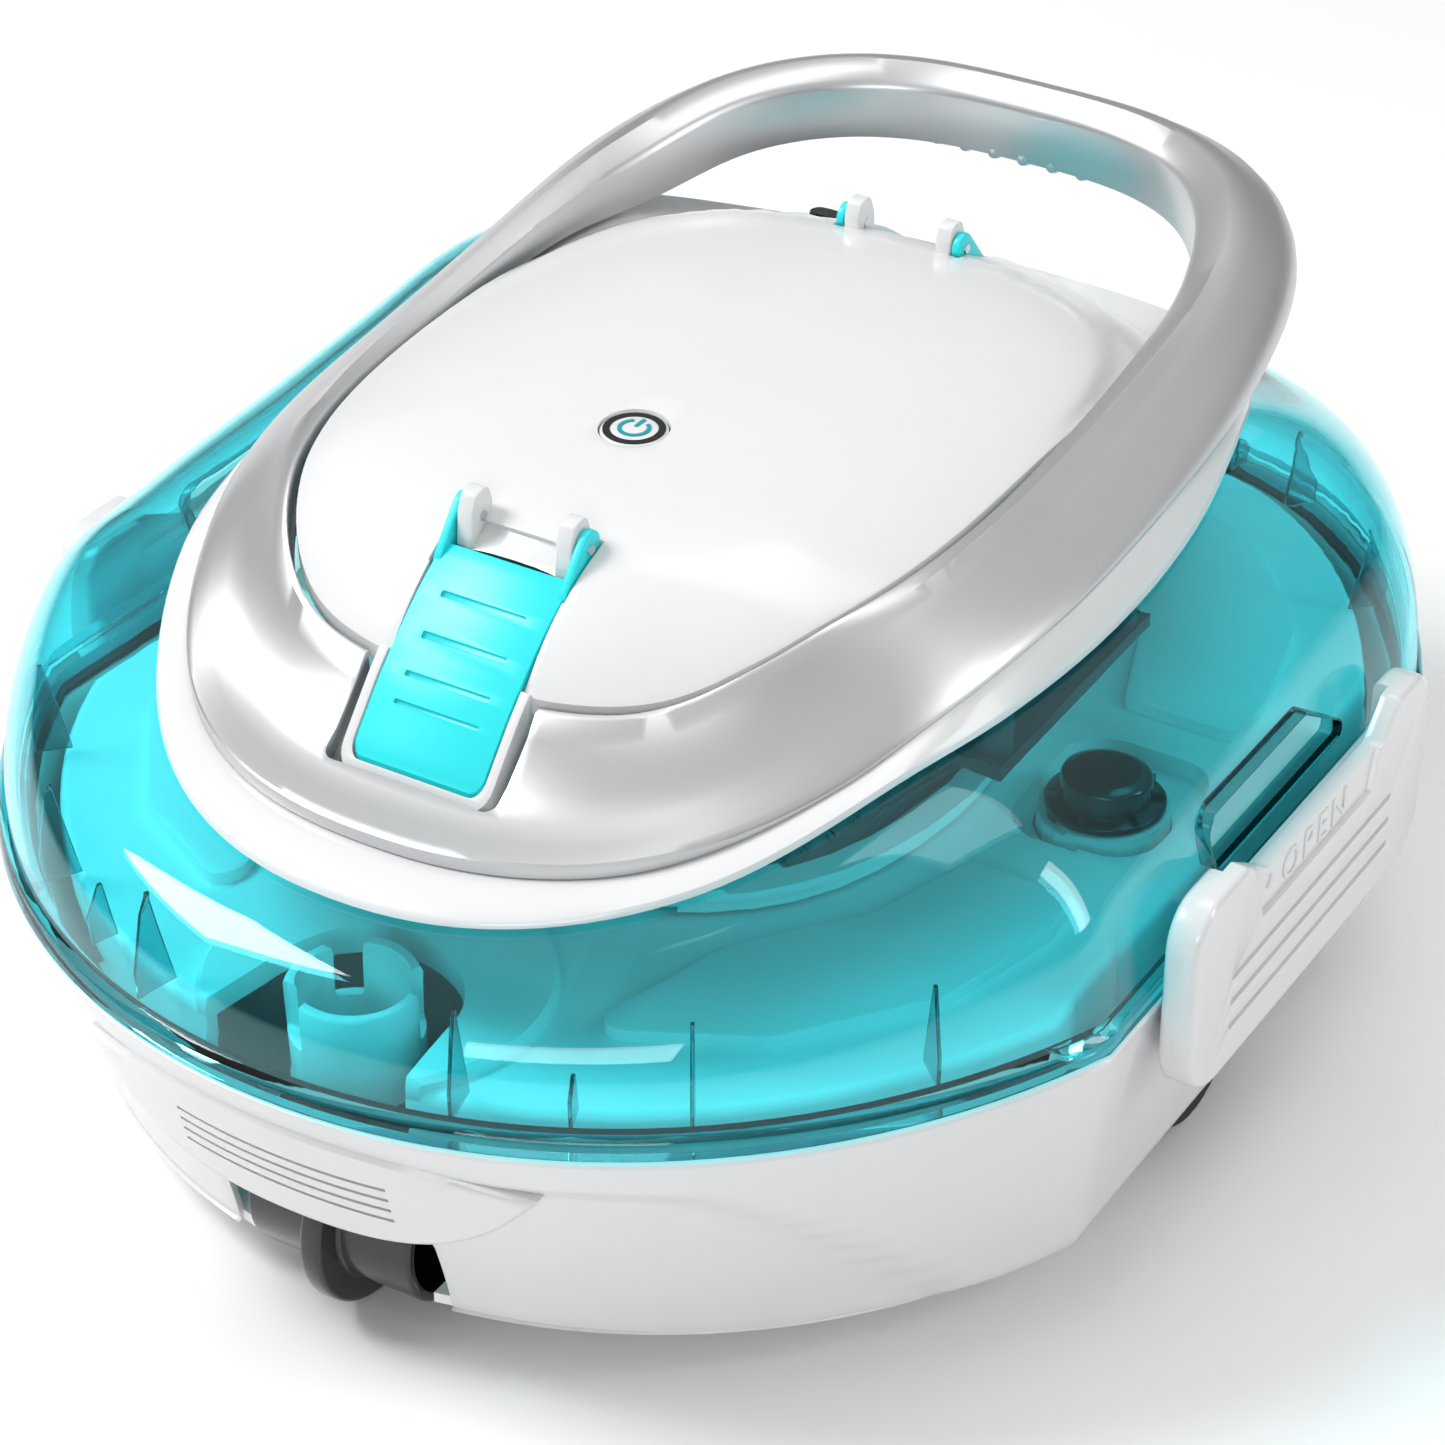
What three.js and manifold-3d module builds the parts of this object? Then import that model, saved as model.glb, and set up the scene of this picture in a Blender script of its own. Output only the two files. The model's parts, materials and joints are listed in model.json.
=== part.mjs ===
// Cordless pool cleaner, modelled in millimetres with +Z up and the front towards -Y.
// The origin is on the ground under the middle of the body.
import * as THREE from 'three';
import { mergeVertices } from 'three/addons/utils/BufferGeometryUtils.js';
import Module from 'manifold-3d';

const wasm = await Module();
wasm.setup();

// ---------------------------------------------------------------- driving dimensions

// General.
const gap = 0.4;                    // clearance between pieces that seat on each other
const wall = 3;                     // moulded wall of the white pieces
const clearWall = 2.6;              // wall of the clear shell

// Lower body. The plan outlines are rounded ovals cut flat at both sides.
const rimHalfWidth = 185;           // of the oval, before the flat sides cut it
const rimHalfLength = 216.5;
const rimFlat = 167.5;              // half distance between the flat sides
const rimHeight = 88;
const rimLand = 5;                  // width of the flat land that carries the clear shell
const skirtTuck = 24.5;             // how far the skirt draws in towards the ground, front and rear
const skirtSideTuck = 12.5;         // and at the flat sides
const skirtBottom = 15;
const skirtHollow = 1.25;           // above 1 the skirt is slightly hollow between foot and rim
const sealLedge = 82;               // height of the ledge that holds the gasket
const deckTop = 90;
const deckInset = 17.5;             // from the rim to the deck wall
const deckWallBottom = 72;
const floorThickness = 3;

// Rollers and wheels.
const rollerRadius = 29;            // of the flange that touches the ground
const drumRadius = 21;
const rollerHalfWidth = 25;
const rollerInset = 45;             // from the front of the rim back to the axle
const axleRadius = 3;
const notchHalfWidth = 33;
const notchTop = 45;
const wheelRadius = 25;
const wheelWidth = 10;
const wheelInset = 23.5;            // from the flat side in to the middle of a side wheel
const wheelOffset = rimFlat - wheelInset;

// Suction inlets.
const inletRadius = 14;
const inletWall = 3.5;              // of the pipe round an inlet
const wheelAxleReach = 5;           // how far a wheel's axle stands out of its inner face
const cupRadius = inletRadius + inletWall;
const inletOffset = wheelOffset - wheelWidth / 2 - wheelAxleReach - cupRadius;
const valveLap = 2;                 // how far a valve covers the rim of its inlet
const valveRadius = inletRadius + valveLap;

// Latches.
const latchProud = 10.5;            // from the flat side out to the outer face of a latch
const latchFace = rimFlat + latchProud;
const latchHalfLength = 70;
const latchBottom = 59;
const latchTop = 117;
const latchThickness = 9;
const latchCorner = 10;
const catchHeight = 104;            // underside of the catch lip
const latchPinRadius = 1.6;
const latchPinHeight = 64;

// Upper body.
const bandHeight = 7;               // upright band at the foot of the clear shell
const bandInset = 3;
const trimHalfWidth = 123;          // lower edge of the white trim
const trimHalfLength = 183;
const skirtEdgeHalfWidth = 117;     // lower edge of the grey handle ring
const skirtEdgeFront = 168;
const handleRear = 188;
const crestHalfWidth = 90.5;        // inner edge of the handle ring
const crestFront = 130;
const crestRear = 166;
const gripDepth = 17;               // height of the inner wall at the grip
const ringDepth = 9;                // height of the inner wall around the lid
const lidClearance = 2;
const lidTop = 192;
const lidRear = 158;
const lidWall = 2.6;

// Outlet flaps.
const flapHalfWidth = 19;
const flapThickness = 2.2;
const hingeForward = 96;            // hinge axis from the middle
const hingeHeight = 187;
const flapPinRadius = 1.4;
const postOffset = 14.6;
const postHalfWidth = 2.4;
const tongueHalfWidth = 24.4;

// Inside.
const ductSlope = 0.64;             // radians above level
const ductOutletForward = 116;
const ductOutletHeight = 158;
const ductLength = 60;
const ductOutletRadius = 13.5;
const ductInletRadius = 21;
const ductWall = 2;
const propellerRadius = 14;
const motorRadius = 10;
const motorLength = 34;
const boxHalfWidth = 62;            // sealed box for the battery and the board
const boxHalfLength = 40;
const boxBottom = 122;
const boxHeight = 46;
const trayToValve = 12.5;           // room between the filter tray and a valve
const trayHalfWidth = inletOffset - valveRadius - trayToValve;
const trayHalfLength = 112;
const trayBottom = deckTop + 1;
const trayHeight = 8;
const buttonForward = 45;
const buttonRadius = 9;
const chassisTop = boxBottom - gap;
const chassisThickness = 3.6;
const chassisHalfWidth = 108;
const chassisHalfLength = 43;
const portRadius = 8;               // charging socket in the rear slope of the lid
const portBore = 4.2;
const portPlace = [-45, 137, 158.9];
const portSlope = 0.9;              // radians above level

// ---------------------------------------------------------------- materials

const finish = (color, roughness, metalness = 0, extra = {}) =>
  new THREE.MeshStandardMaterial({ color, roughness, metalness, ...extra });
const white = finish(0xf4f5f6, 0.25);
const clearTeal = finish(0x1fc3dc, 0.06, 0, { transparent: true, opacity: 0.45 });
const silver = finish(0xa9abae, 0.3, 0.6);
const cyan = finish(0x2fe9ec, 0.35);
const black = finish(0x161618, 0.4);
const rubber = finish(0x1c1c1e, 0.85);
const steel = finish(0xb9bcc0, 0.25, 1);
const darkGrey = finish(0x3a3d40, 0.5);
const mesh = finish(0x8f979c, 0.7);
const boardGreen = finish(0x1d6b3c, 0.55);
const cellWrap = finish(0x2f5fae, 0.5);

// ---------------------------------------------------------------- geometry helpers

// A smooth height along Y, through a few knots [y, height].
function profile(knots) {
  const slope = (i) => {
    const before = knots[Math.max(i - 1, 0)];
    const after = knots[Math.min(i + 1, knots.length - 1)];
    return (after[1] - before[1]) / (after[0] - before[0]);
  };
  return (y) => {
    if (y <= knots[0][0]) return knots[0][1];
    if (y >= knots.at(-1)[0]) return knots.at(-1)[1];
    const i = knots.findIndex(([end]) => end > y) - 1;
    const span = knots[i + 1][0] - knots[i][0];
    const t = (y - knots[i][0]) / span;
    const rise = knots[i + 1][1] - knots[i][1];
    const m0 = slope(i) * span;
    const m1 = slope(i + 1) * span;
    return knots[i][1] + m0 * t + (3 * rise - 2 * m0 - m1) * t * t + (m0 + m1 - 2 * rise) * t ** 3;
  };
}

const mix = (a, b, t) => a + (b - a) * t;
const ease = (y, from, to) => THREE.MathUtils.smoothstep(y, from, to);

// An oval plan outline. Front and rear may differ; flat cuts it straight at both sides.
const oval = (width, front, rear = front, power = 2.04, rearPower = power, flat = Infinity) =>
  ({ width, front, rear, power, rearPower, flat });
const grow = (o, d, side = d) =>
  ({ ...o, width: o.width + d, front: o.front + d, rear: o.rear + d, flat: o.flat + side });

// Stations go round an oval: an arc at the front, a side, an arc at the rear, a side.
// The arcs end where the rim meets its flat sides, so every outline shares those corners.
const arcSteps = 16;
const sideSteps = 6;
const rim = oval(rimHalfWidth, rimHalfLength, rimHalfLength, 2.04, 2.04, rimFlat);
const cornerTurn = (o) => Math.asin(Math.min(1, (o.flat / o.width)) ** (o.power / 2));
const sharedTurn = cornerTurn(rim);
const stations = [];
for (let i = 0; i < arcSteps; i++) stations.push({ zone: 'front', v: i / arcSteps });
for (let i = 0; i < sideSteps; i++) stations.push({ zone: 'right', v: i / sideSteps });
for (let i = 0; i < arcSteps; i++) stations.push({ zone: 'rear', v: i / arcSteps });
for (let i = 0; i < sideSteps; i++) stations.push({ zone: 'left', v: i / sideSteps });

function at(o, { zone, v }) {
  const turn = o.flat < o.width ? cornerTurn(o) : sharedTurn;
  const byAngle = (angle) => {
    const power = Math.cos(angle) > 0 ? o.power : o.rearPower;
    const reach = Math.cos(angle) > 0 ? -o.front : o.rear;
    const x = Math.sign(Math.sin(angle)) * o.width * Math.abs(Math.sin(angle)) ** (2 / power);
    return [x, reach * Math.abs(Math.cos(angle)) ** (2 / power)];
  };
  if (zone === 'front') return byAngle(mix(-turn, turn, v));
  if (zone === 'rear') return byAngle(Math.PI + mix(-turn, turn, v));
  const side = zone === 'right' ? 1 : -1;
  if (o.flat < o.width) {
    const corner = Math.abs(byAngle(turn)[1]);
    return [side * o.flat, side * mix(-corner, corner, v)];
  }
  return byAngle(mix(turn, Math.PI - turn, v) + (side > 0 ? 0 : Math.PI));
}

function solidFromGrid(positions, indices) {
  const geometry = new THREE.BufferGeometry();
  geometry.setAttribute('position', new THREE.Float32BufferAttribute(positions, 3));
  geometry.setIndex(indices);
  return outward(geometry);
}

// Turns a closed mesh so that its faces point out.
function outward(geometry) {
  const p = geometry.attributes.position;
  const index = geometry.index;
  const corner = [new THREE.Vector3(), new THREE.Vector3(), new THREE.Vector3()];
  let volume = 0;
  for (let i = 0; i < index.count; i += 3) {
    corner.forEach((c, k) => c.fromBufferAttribute(p, index.getX(i + k)));
    volume += corner[0].dot(corner[1].clone().cross(corner[2]));
  }
  if (volume < 0) {
    for (let i = 0; i < index.count; i += 3) {
      const keep = index.getX(i);
      index.setX(i, index.getX(i + 1));
      index.setX(i + 1, keep);
    }
  }
  return geometry;
}

// A closed ring: one closed section of [x, y, z] points at every station.
function ring(sectionAt) {
  const sections = stations.map(sectionAt);
  const rows = sections.length;
  const size = sections[0].length;
  const indices = [];
  for (let i = 0; i < rows; i++) {
    for (let k = 0; k < size; k++) {
      const a = i * size + k;
      const b = i * size + (k + 1) % size;
      const c = ((i + 1) % rows) * size + k;
      const d = ((i + 1) % rows) * size + (k + 1) % size;
      indices.push(a, c, b, b, c, d);
    }
  }
  return solidFromGrid(sections.flat(2), indices);
}

// A closed cap: at every station a line of points from a top pole to a bottom pole.
function cap(lineAt, top, bottom) {
  const lines = stations.map(lineAt);
  const rows = lines.length;
  const size = lines[0].length;
  const indices = [];
  const topPole = rows * size;
  const bottomPole = topPole + 1;
  for (let i = 0; i < rows; i++) {
    const here = i * size;
    const next = ((i + 1) % rows) * size;
    indices.push(topPole, here, next);
    for (let k = 0; k < size - 1; k++) {
      indices.push(here + k, here + k + 1, next + k, next + k, here + k + 1, next + k + 1);
    }
    indices.push(here + size - 1, bottomPole, next + size - 1);
  }
  return solidFromGrid([...lines.flat(2), ...top, ...bottom], indices);
}

function box(from, to) {
  const size = to.map((v, i) => v - from[i]);
  const geometry = new THREE.BoxGeometry(...size);
  return geometry.translate(...to.map((v, i) => (v + from[i]) / 2));
}

// Prisms: a closed polygon drawn in one plane and carried along the axis across it.
function prism(points, from, to, holes = []) {
  const shape = new THREE.Shape(points.map(([u, v]) => new THREE.Vector2(u, v)));
  holes.forEach((hole) => shape.holes.push(new THREE.Path(hole.map(([u, v]) => new THREE.Vector2(u, v)))));
  const geometry = new THREE.ExtrudeGeometry(shape, { depth: to - from, bevelEnabled: false });
  return geometry.translate(0, 0, from);
}
const turned = (geometry, xAxis, yAxis, zAxis) => geometry.applyMatrix4(
  new THREE.Matrix4().makeBasis(xAxis, yAxis, zAxis));
const X = new THREE.Vector3(1, 0, 0);
const Y = new THREE.Vector3(0, 1, 0);
const Z = new THREE.Vector3(0, 0, 1);
const prismX = (points, from, to) => turned(prism(points, from, to), Y, Z, X);
const prismY = (points, from, to) => turned(prism(points, -to, -from), X, Z, Y.clone().negate());
const prismZ = prism;

// Turned pieces: a closed profile of [radius, place along the axis], about X or Z.
function turnedAbout(axis, points, segments = 20) {
  const closed = [...points, points[0]].map(([r, h]) => new THREE.Vector2(r, h));
  const geometry = new THREE.LatheGeometry(closed, segments);
  if (axis === 'x') geometry.rotateZ(-Math.PI / 2);
  if (axis === 'z') geometry.rotateX(Math.PI / 2);
  return geometry;
}
const rod = (axis, radius, from, to, segments = 12) =>
  turnedAbout(axis, [[0, from], [radius, from], [radius, to], [0, to]], segments);
const tube = (axis, outer, inner, from, to, segments = 20) =>
  turnedAbout(axis, [[inner, from], [outer, from], [outer, to], [inner, to]], segments);

// Booleans on closed meshes.
function toSolid(geometry) {
  const bare = new THREE.BufferGeometry();
  bare.setAttribute('position', geometry.attributes.position.clone());
  if (geometry.index) bare.setIndex(geometry.index.clone());
  const merged = mergeVertices(bare, 1e-4);
  const index = merged.index.array;
  const kept = [];
  for (let i = 0; i < index.length; i += 3) {
    const [a, b, c] = [index[i], index[i + 1], index[i + 2]];
    if (a !== b && b !== c && c !== a) kept.push(a, b, c);
  }
  merged.setIndex(kept);
  outward(merged);
  return new wasm.Manifold(new wasm.Mesh({
    numProp: 3,
    vertProperties: new Float32Array(merged.attributes.position.array),
    triVerts: new Uint32Array(merged.index.array),
  }));
}

function toGeometry(solid) {
  const { vertProperties, triVerts } = solid.getMesh();
  const geometry = new THREE.BufferGeometry();
  geometry.setAttribute('position', new THREE.BufferAttribute(new Float32Array(vertProperties), 3));
  geometry.setIndex(new THREE.BufferAttribute(new Uint32Array(triVerts), 1));
  return geometry;
}

function cut(base, tools = [], additions = []) {
  let solid = toSolid(base);
  additions.forEach((piece) => { solid = solid.add(toSolid(piece)); });
  tools.forEach((piece) => { solid = solid.subtract(toSolid(piece)); });
  return toGeometry(solid);
}

const cleaner = new THREE.Group();
cleaner.name = 'pool_cleaner';

function add(name, geometry, material, position = [0, 0, 0], turn = [0, 0, 0]) {
  const piece = new THREE.Mesh(geometry, material);
  piece.name = name;
  piece.position.set(...position);
  piece.rotation.set(...turn);
  cleaner.add(piece);
  return piece;
}

const ends = [['front', -1], ['rear', 1]];
const sides = [['left', -1], ['right', 1]];

// ---------------------------------------------------------------- shared outlines

const skirtFoot = {
  ...oval(rimHalfWidth - skirtTuck * 0.6, rimHalfLength - skirtTuck),
  power: 2.1,
  rearPower: 2.1,
  flat: rimFlat - skirtSideTuck,
};
const deckOutline = grow(rim, -deckInset);
const trimEdge = oval(trimHalfWidth, trimHalfLength, trimHalfLength, 2.2);
const ringEdge = oval(skirtEdgeHalfWidth, skirtEdgeFront, handleRear, 2.3, 3.2);
const crest = oval(crestHalfWidth, crestFront, crestRear, 2.7, 3);
const lidOutline = oval(crestHalfWidth - lidClearance, crestFront - lidClearance, lidRear, 2.7, 2.6);

const trimEdgeHeight = profile([
  [-trimHalfLength, 127], [-145, 135], [-98, 148.5], [-60, 151], [0, 153],
  [40, 157], [75, 163], [100, 160], [140, 145], [trimHalfLength, 127]]);
const ringEdgeHeight = profile([
  [-skirtEdgeFront, 138.5], [-145, 141.5], [-107, 150], [-82, 157], [-49, 162],
  [8, 166], [60, 171], [107, 179], [handleRear, 188]]);
const crestHeight = profile([
  [-crestFront, 161], [-120, 163.5], [-100, 173], [-78, 179], [0, 183],
  [60, 189], [95, 191], [130, 196], [crestRear, 197]]);
const lidEdgeHeight = profile([
  [-128, 159], [-116, 163], [-99, 171.5], [-79, 177], [-30, 180.5], [20, 181.5],
  [70, 178], [95, 172], [120, 162], [lidRear, 138]]);

const point = (o, station, height) => {
  const [x, y] = at(o, station);
  return [x, y, typeof height === 'function' ? height(y) : height];
};
const between = (p, q, t, lift = 0) => [mix(p[0], q[0], t), mix(p[1], q[1], t), mix(p[2], q[2], t) + lift];

// ---------------------------------------------------------------- lower body

const rollerY = rimHalfLength - rollerInset;
const skirtAt = (z) => {
  const t = ((z - skirtBottom) / (rimHeight - skirtBottom)) ** skirtHollow;
  const width = mix(skirtFoot.width, rim.width, t);
  const length = mix(skirtFoot.front, rim.front, t);
  return oval(width, length, length, 2.06, 2.06, mix(skirtFoot.flat, rim.flat, t));
};
const latchPinOffset = latchFace - latchThickness - 2.4;
const baseKnuckle = (side, y) => box(
  [Math.min(side * (latchPinOffset + 2.2), side * (rimFlat - skirtSideTuck + 3)), y - 6, latchPinHeight - 4],
  [Math.max(side * (latchPinOffset + 2.2), side * (rimFlat - skirtSideTuck + 3)), y + 6, latchPinHeight + 4]);
const knuckleOffset = 46;

function makeBaseShell() {
  const middle = (skirtBottom + rimHeight) / 2;
  const body = ring((s) => [
    point(skirtAt(skirtBottom), s, skirtBottom),
    point(skirtAt(middle), s, middle),
    point(rim, s, rimHeight),
    point(grow(rim, -rimLand), s, rimHeight),
    point(grow(rim, -rimLand), s, sealLedge),
    point(grow(rim, -rimLand - 5), s, sealLedge),
    point(grow(rim, -rimLand - 5), s, sealLedge - 4),
    point(grow(skirtAt(middle), -wall), s, middle),
    point(grow(skirtAt(skirtBottom), -wall), s, skirtBottom),
  ]);
  const notches = ends.map(([, end]) => box(
    [-notchHalfWidth, end > 0 ? rollerY - 20 : -rimHalfLength, skirtBottom - 5],
    [notchHalfWidth, end > 0 ? rimHalfLength : -rollerY + 20, notchTop]));
  const knuckles = sides.flatMap(([, side]) => [-knuckleOffset, knuckleOffset].map((y) => baseKnuckle(side, y)));
  const pinHoles = sides.map(([, side]) => turnedAboutY(
    latchPinRadius + gap, side * latchPinOffset, latchPinHeight, latchHalfLength));
  return cut(body, [...notches, ...pinHoles], knuckles);
}

// A rod along Y through (x, z), reaching the same distance both ways.
function turnedAboutY(radius, x, z, reach) {
  return turned(rod('z', radius, -reach, reach), X, Z.clone().negate(), Y).translate(x, 0, z);
}

const lugHalf = 8;
const rollerLug = (side, end) => box(
  [side > 0 ? rollerHalfWidth + 3 : -rollerHalfWidth - 7, end * rollerY - lugHalf, skirtBottom],
  [side > 0 ? rollerHalfWidth + 7 : -rollerHalfWidth - 3, end * rollerY + lugHalf, rollerRadius + 8]);
const wheelLugInner = wheelOffset - wheelWidth / 2 - 4.2;
const wheelLug = (side) => box(
  [side > 0 ? wheelLugInner : -wheelLugInner - 3, -lugHalf, skirtBottom],
  [side > 0 ? wheelLugInner + 3 : -wheelLugInner, lugHalf, wheelRadius + 8]);
const postX = 100;
const postY = 92;
const screwHole = 1.9;
const deckPosts = sides.flatMap(([, side]) => ends.map(([, end]) => [side * postX, end * postY]));

function makeBaseFloor() {
  const outline = stations.map((s) => at(grow(skirtAt(skirtBottom), -wall - gap - 0.4), s));
  const plate = prismZ(outline, skirtBottom, skirtBottom + floorThickness);
  const lugs = sides.flatMap(([, side]) => [rollerLug(side, -1), rollerLug(side, 1), wheelLug(side)]);
  const wells = ends.map(([, end]) => box(
    [-rollerHalfWidth - 2.5, end > 0 ? rollerY - rollerRadius - 4 : -rimHalfLength, skirtBottom - 1],
    [rollerHalfWidth + 2.5, end > 0 ? rimHalfLength : -rollerY + rollerRadius + 4, skirtBottom + floorThickness + 1]));
  const wheelWells = sides.map(([, side]) => box(
    [side > 0 ? wheelLugInner + 3.1 : -rimFlat, -wheelRadius - 3, skirtBottom - 1],
    [side > 0 ? rimFlat : -wheelLugInner - 3.1, wheelRadius + 3, skirtBottom + floorThickness + 1]));
  const inlets = sides.map(([, side]) =>
    rod('z', inletRadius, skirtBottom - 1, skirtBottom + floorThickness + 1, 16).translate(side * inletOffset, 0, 0));
  const rollerBores = ends.map(([, end]) =>
    rod('x', axleRadius + gap, -60, 60).translate(0, end * rollerY, rollerRadius));
  const wheelBore = rod('x', axleRadius + gap, -rimFlat, rimFlat).translate(0, 0, wheelRadius);
  const screwHoles = deckPosts.map(([x, y]) =>
    rod('z', screwHole, skirtBottom - 1, skirtBottom + floorThickness + 1, 8).translate(x, y, 0));
  return cut(plate, [...wells, ...wheelWells, ...inlets, ...rollerBores, wheelBore, ...screwHoles],
    lugs);
}

// A screw post between the floor and the deck.
function makeDeckPost() {
  const foot = skirtBottom + floorThickness + gap;
  return cut(rod('z', 6, foot, deckTop - wall - gap, 12), [rod('z', screwHole, foot - 1, foot + 20, 8)]);
}

const housingRadius = 17;
const housingTop = 98;
const housingY = rollerY + 3;

function makeBaseDeck() {
  const inner = oval(trayHalfWidth - 6, trayHalfLength - 6, trayHalfLength - 6, 2.6);
  const innerWall = grow(inner, 3);
  const body = ring((s) => [
    point(deckOutline, s, deckWallBottom),
    point(deckOutline, s, deckTop),
    point(inner, s, deckTop),
    point(inner, s, deckTop - 10),
    point(innerWall, s, deckTop - 10),
    point(innerWall, s, deckTop - wall),
    point(grow(deckOutline, -wall), s, deckTop - wall),
    point(grow(deckOutline, -wall), s, deckWallBottom),
  ]);
  const housings = ends.map(([, end]) =>
    tube('z', housingRadius, housingRadius - 3, deckTop - wall - 8, housingTop, 20).translate(0, end * housingY, 0));
  const housingBores = ends.map(([, end]) =>
    rod('z', housingRadius - 3, deckTop - 30, deckTop + 1, 20).translate(0, end * housingY, 0));
  const housingSlots = ends.map(([, end]) => box(
    [-5, end * housingY - (end < 0 ? 22 : 0), deckTop + 2],
    [5, end * housingY + (end > 0 ? 22 : 0), housingTop + 5]));
  const cupHoles = sides.map(([, side]) =>
    rod('z', cupRadius + gap, deckTop - wall - 1, deckTop + 1, 20).translate(side * inletOffset, 0, 0));
  return cut(body, [...housingBores, ...housingSlots, ...cupHoles], housings);
}

// The pipe from the suction inlet in the floor up to the valve.
const makeInletCup = () => tube(
  'z', cupRadius, inletRadius, skirtBottom + floorThickness + gap, deckTop, 20);

// A leaf-shaped plate that lies on the skirt and stands proud of it.
const bumperHalfLength = 67.5;
const bumperTop = 80;
const bumperBottom = 45;
const bumperTipHeight = 72;

function makeBumper(end) {
  const foot = bumperBottom - 3;
  const head = bumperTop + 3;
  const straight = (z) => {
    const t = (z - skirtBottom) / (rimHeight - skirtBottom);
    return grow(skirtAt(z), mix(skirtFoot.front, rim.front, t) - skirtAt(z).front + 0.4);
  };
  const sheet = ring((s) => [
    point(straight(foot), s, foot),
    point(straight(head), s, head),
    point(grow(skirtAt(head), gap), s, head),
    point(grow(skirtAt((foot + head) / 2), gap + 0.4), s, (foot + head) / 2),
    point(grow(skirtAt(foot), gap), s, foot),
  ]);
  const leaf = [];
  const steps = 8;
  for (let i = 0; i <= steps; i++) {
    const x = mix(-bumperHalfLength, bumperHalfLength, i / steps);
    leaf.push([x, mix(bumperTop, bumperTipHeight, Math.abs(x / bumperHalfLength) ** 3)]);
  }
  for (let i = steps - 1; i > 0; i--) {
    const x = mix(-bumperHalfLength, bumperHalfLength, i / steps);
    leaf.push([x, mix(bumperBottom, bumperTipHeight, Math.abs(x / bumperHalfLength) ** 3.5)]);
  }
  const cutter = prismY(leaf, end > 0 ? 100 : -rimHalfLength - 5, end > 0 ? rimHalfLength + 5 : -100);
  return toGeometry(toSolid(sheet).intersect(toSolid(cutter)));
}

add('base_shell', makeBaseShell(), white);
add('base_floor', makeBaseFloor(), white);
add('base_deck', makeBaseDeck(), white);
deckPosts.forEach(([x, y], i) => add(`deck_post_${i + 1}`, makeDeckPost(), white, [x, y, 0]));
sides.forEach(([name, side]) => add(`inlet_cup_${name}`, makeInletCup(), white, [side * inletOffset, 0, 0]));
add('rim_seal', ring((s) => [
  point(grow(rim, -rimLand - gap), s, sealLedge + gap),
  point(grow(rim, -rimLand - 4.2), s, sealLedge + gap),
  point(grow(rim, -rimLand - 4.2), s, sealLedge + 2.4),
  point(grow(rim, -rimLand - gap), s, sealLedge + 2.4),
]), rubber);
ends.forEach(([name, end]) => add(`${name}_bumper`, makeBumper(end), white));

function makeRoller() {
  const half = rollerHalfWidth;
  const bore = axleRadius + gap;
  const hub = 8;
  const bowl = drumRadius - 3;
  return turnedAbout('x', [
    [bore, -half + 2], [hub, -half + 2], [hub, -6], [bowl, -6], [bowl, -half], [drumRadius, -half],
    [drumRadius, -3], [rollerRadius - 1.5, -3], [rollerRadius, -1.5], [rollerRadius, 1.5],
    [rollerRadius - 1.5, 3], [drumRadius, 3], [drumRadius, half], [bowl, half], [bowl, 6], [hub, 6],
    [hub, half - 2], [bore, half - 2]], 16);
}
ends.forEach(([name, end]) => {
  const axle = rollerHalfWidth + 9;
  add(`${name}_roller`, makeRoller(), black, [0, end * rollerY, rollerRadius]);
  add(`${name}_axle`, rod('x', axleRadius, -axle, axle), steel, [0, end * rollerY, rollerRadius]);
});
sides.forEach(([name, side]) => {
  const half = wheelWidth / 2;
  const wheel = turnedAbout('x', [
    [axleRadius + gap, -half], [wheelRadius - 1.5, -half], [wheelRadius, -half + 1.5],
    [wheelRadius, half - 1.5], [wheelRadius - 1.5, half], [axleRadius + gap, half]], 24);
  add(`side_wheel_${name}`, wheel, rubber, [side * wheelOffset, 0, wheelRadius]);
  add(`side_axle_${name}`, rod('x', axleRadius, -half - wheelAxleReach, half + 2), steel,
    [side * wheelOffset, 0, wheelRadius], [0, 0, side > 0 ? 0 : Math.PI]);
  const valve = cut(rod('z', valveRadius, 0, 2, 20),
    [], [rod('x', 1.2, -6, 6, 8).translate(0, valveRadius, 1)]);
  add(`inlet_valve_${name}`, valve, rubber, [side * inletOffset, 0, deckTop + gap]);
});

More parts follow.
